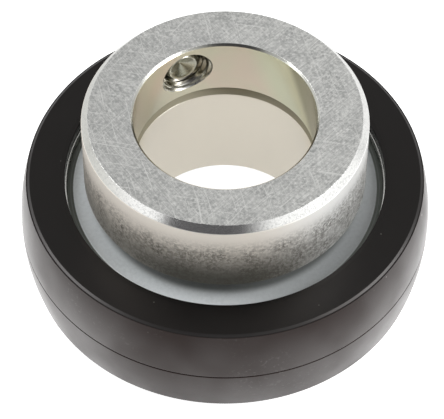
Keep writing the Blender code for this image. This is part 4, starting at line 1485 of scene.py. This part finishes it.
def floor_finish(stage):
    """White floor that keeps the bearing's shadow.

    For the camera it glows up to white. In reflections alone it has a painted glow round the bearing,
    fainter under it and brighter at its sides.
    """
    finish = bpy.data.materials.new("White floor")
    finish.use_nodes = True
    graph = Graph(finish.node_tree)
    finish.node_tree.nodes.remove(finish.node_tree.nodes["Principled BSDF"])
    diffuse = graph.node("ShaderNodeBsdfDiffuse", {"Color": (*(stage.floor_white,) * 3, 1.0)})
    path = graph.node("ShaderNodeLightPath").outputs
    # Painted light: a glow that only glossy rays see, round the bearing and brighter at its sides
    near = graph.span(graph.radius, 0.085, 0.042)
    under = graph.span(graph.radius, 0.030, 0.040, 0.50, 1.0)
    beside = graph.span(graph.math("ABSOLUTE", graph.axes["X"]), 0.010, 0.045, 0.82, 1.40)
    reflected = graph.times(near, under, beside, path["Is Glossy Ray"])
    through = graph.most(path["Is Camera Ray"], path["Is Transmission Ray"])
    glow = graph.node("ShaderNodeEmission", {"Strength": graph.plus(through, stage.floor_glow, reflected)})
    both = graph.node("ShaderNodeAddShader", {0: diffuse.outputs[0], 1: glow.outputs[0]})
    graph.link(both.outputs[0], finish.node_tree.nodes["Material Output"].inputs["Surface"])
    return finish


class BEARING_OT_stage(Operator):
    """Set the floor, the studio's walls, two lamps and the camera."""

    bl_idname = "bearing.stage"
    bl_label = "Stage"

    def execute(self, context):
        stage = settings_of("stage")
        self.floor(context, stage)
        self.walls(context, stage)
        self.lamp(context, stage, Vector(stage.right_lamp), stage.right_power)
        self.lamp(context, stage, Vector(stage.left_lamp), stage.left_power)
        self.camera(context, stage)
        context.scene.view_settings.view_transform = "Standard"
        return {"FINISHED"}

    def floor(self, context, stage):
        """A large square just below the bearing."""
        half = stage.floor_size / 2
        low = CAD_BOX[0].z - stage.floor_gap
        mesh = bpy.data.meshes.new("floor")
        corners = [(-half, -half, low), (half, -half, low), (half, half, low), (-half, half, low)]
        mesh.from_pydata(corners, [], [(0, 1, 2, 3)])
        mesh.materials.append(floor_finish(stage))
        floor = bpy.data.objects.new("floor", mesh)
        context.collection.objects.link(floor)

    def walls(self, context, stage):
        """Studio walls as the world.

        They are white round the horizon, a little darker at the right behind, and grey above. A wedge of
        directions in front and above the horizon is dark, as where a photographer would stand. The camera
        itself sees white.
        """
        world = bpy.data.worlds.new("Studio")
        context.scene.world = world
        world.use_nodes = True
        graph = Graph(world.node_tree)
        direction = graph.node("ShaderNodeTexCoord").outputs["Generated"]
        parts = graph.node("ShaderNodeSeparateXYZ", {"Vector": direction}).outputs
        right = graph.span(parts["X"], -0.6, 0.6)
        above = graph.mix(right, stage.ceiling_left, stage.ceiling_right)
        around = graph.mix(right, (stage.left_wall,) * 3, (stage.right_wall,) * 3)
        behind = graph.times(graph.span(parts["Y"], 0.1, 0.6, 0.0, 0.3), right)
        around = graph.mix(behind, around, (0.0, 0.0, 0.0))
        walls = graph.mix(graph.span(parts["Z"], 0.30, 0.70), around, above)
        front = graph.times(parts["Y"], -0.8)
        left_end = graph.span(graph.math("ADD", front, parts["X"]), -0.20, 0.05)
        right_end = graph.span(graph.plus(parts["X"], -1.9, front), -0.50, 0.45)
        wedge = graph.times(graph.math("MINIMUM", left_end, right_end), graph.span(parts["Z"], 0.20, 0.32))
        shaded = graph.mix(wedge, walls, stage.dark_zone)
        seen = graph.node("ShaderNodeLightPath").outputs["Is Camera Ray"]
        background = world.node_tree.nodes["Background"].inputs
        graph.link(graph.mix(seen, shaded, (1.0, 1.0, 1.0)), background["Color"])
        graph.link(graph.mix_value(seen, stage.world_level, 1.0), background["Strength"])

    def lamp(self, context, stage, place, power):
        """A large soft lamp at a place, aimed at the bearing."""
        lamp = bpy.data.lights.new("softbox", "AREA")
        lamp.shape = "RECTANGLE"
        lamp.size = stage.lamp_width
        lamp.size_y = stage.lamp_height
        lamp.energy = power
        holder = bpy.data.objects.new("softbox", lamp)
        holder.location = place
        aim = Vector((0.0, 0.0, stage.target_height)) - place
        holder.rotation_euler = aim.to_track_quat("-Z", "Y").to_euler()
        context.collection.objects.link(holder)

    def camera(self, context, stage):
        """The camera stands in front, above the bearing, and aims a little off its target."""
        elevation = stage.elevation
        data = bpy.data.cameras.new("camera")
        data.lens = stage.focal_length
        data.sensor_width = SENSOR_WIDTH
        data.clip_start, data.clip_end = CLIPPING
        camera = bpy.data.objects.new("camera", data)
        place = Vector((0.0, -math.cos(elevation), math.sin(elevation))) * stage.distance
        place.z += stage.target_height
        camera.matrix_world = (
            Matrix.Translation(place)
            @ Matrix.Rotation(stage.yaw, 4, "Z")
            @ Matrix.Rotation(math.pi / 2 - elevation - stage.pitch, 4, "X")
            @ Matrix.Rotation(stage.roll, 4, "Z")
        )
        context.collection.objects.link(camera)
        context.scene.camera = camera


class BEARING_PT_sidebar(Panel):
    """Lists the pieces and the stage, with their sizes and colours."""

    bl_idname = "BEARING_PT_sidebar"
    bl_label = "Insert bearing"
    bl_space_type = "VIEW_3D"
    bl_region_type = "UI"
    bl_category = "Bearing"

    def draw(self, context):
        layout = self.layout
        for operator in OPERATORS:
            layout.operator(operator.bl_idname)
        for name, settings in SETTINGS.items():
            box = layout.box()
            box.label(text=name)
            for prop in settings.__annotations__:
                box.prop(getattr(context.scene, f"bearing_{name}"), prop)


SETTINGS = {
    "general": GeneralSettings,
    "interliner": InterlinerSettings,
    "rings": RingSettings,
    "seals": SealSettings,
    "collar": CollarSettings,
    "screw": ScrewSettings,
    "finishes": FinishSettings,
    "stage": StageSettings,
}
OPERATORS = (
    BEARING_OT_interliner,
    BEARING_OT_outer_ring,
    BEARING_OT_seals,
    BEARING_OT_balls,
    BEARING_OT_cage,
    BEARING_OT_inner_ring,
    BEARING_OT_collar,
    BEARING_OT_grub_screw,
    BEARING_OT_stage,
)


def register():
    """Register the settings, the operators and the panel."""
    for cls in (*SETTINGS.values(), *OPERATORS, BEARING_PT_sidebar):
        bpy.utils.register_class(cls)
    for name, settings in SETTINGS.items():
        setattr(bpy.types.Scene, f"bearing_{name}", PointerProperty(type=settings))


def unregister():
    """Take the panel, the operators and the settings away again."""
    for name in SETTINGS:
        delattr(bpy.types.Scene, f"bearing_{name}")
    for cls in reversed((*SETTINGS.values(), *OPERATORS, BEARING_PT_sidebar)):
        bpy.utils.unregister_class(cls)


def main():
    register()
    bpy.ops.bearing.interliner()
    bpy.ops.bearing.outer_ring()
    bpy.ops.bearing.seals()
    bpy.ops.bearing.balls()
    bpy.ops.bearing.cage()
    bpy.ops.bearing.inner_ring()
    bpy.ops.bearing.collar()
    bpy.ops.bearing.grub_screw()
    bpy.ops.bearing.stage()


if __name__ == "__main__":
    main()
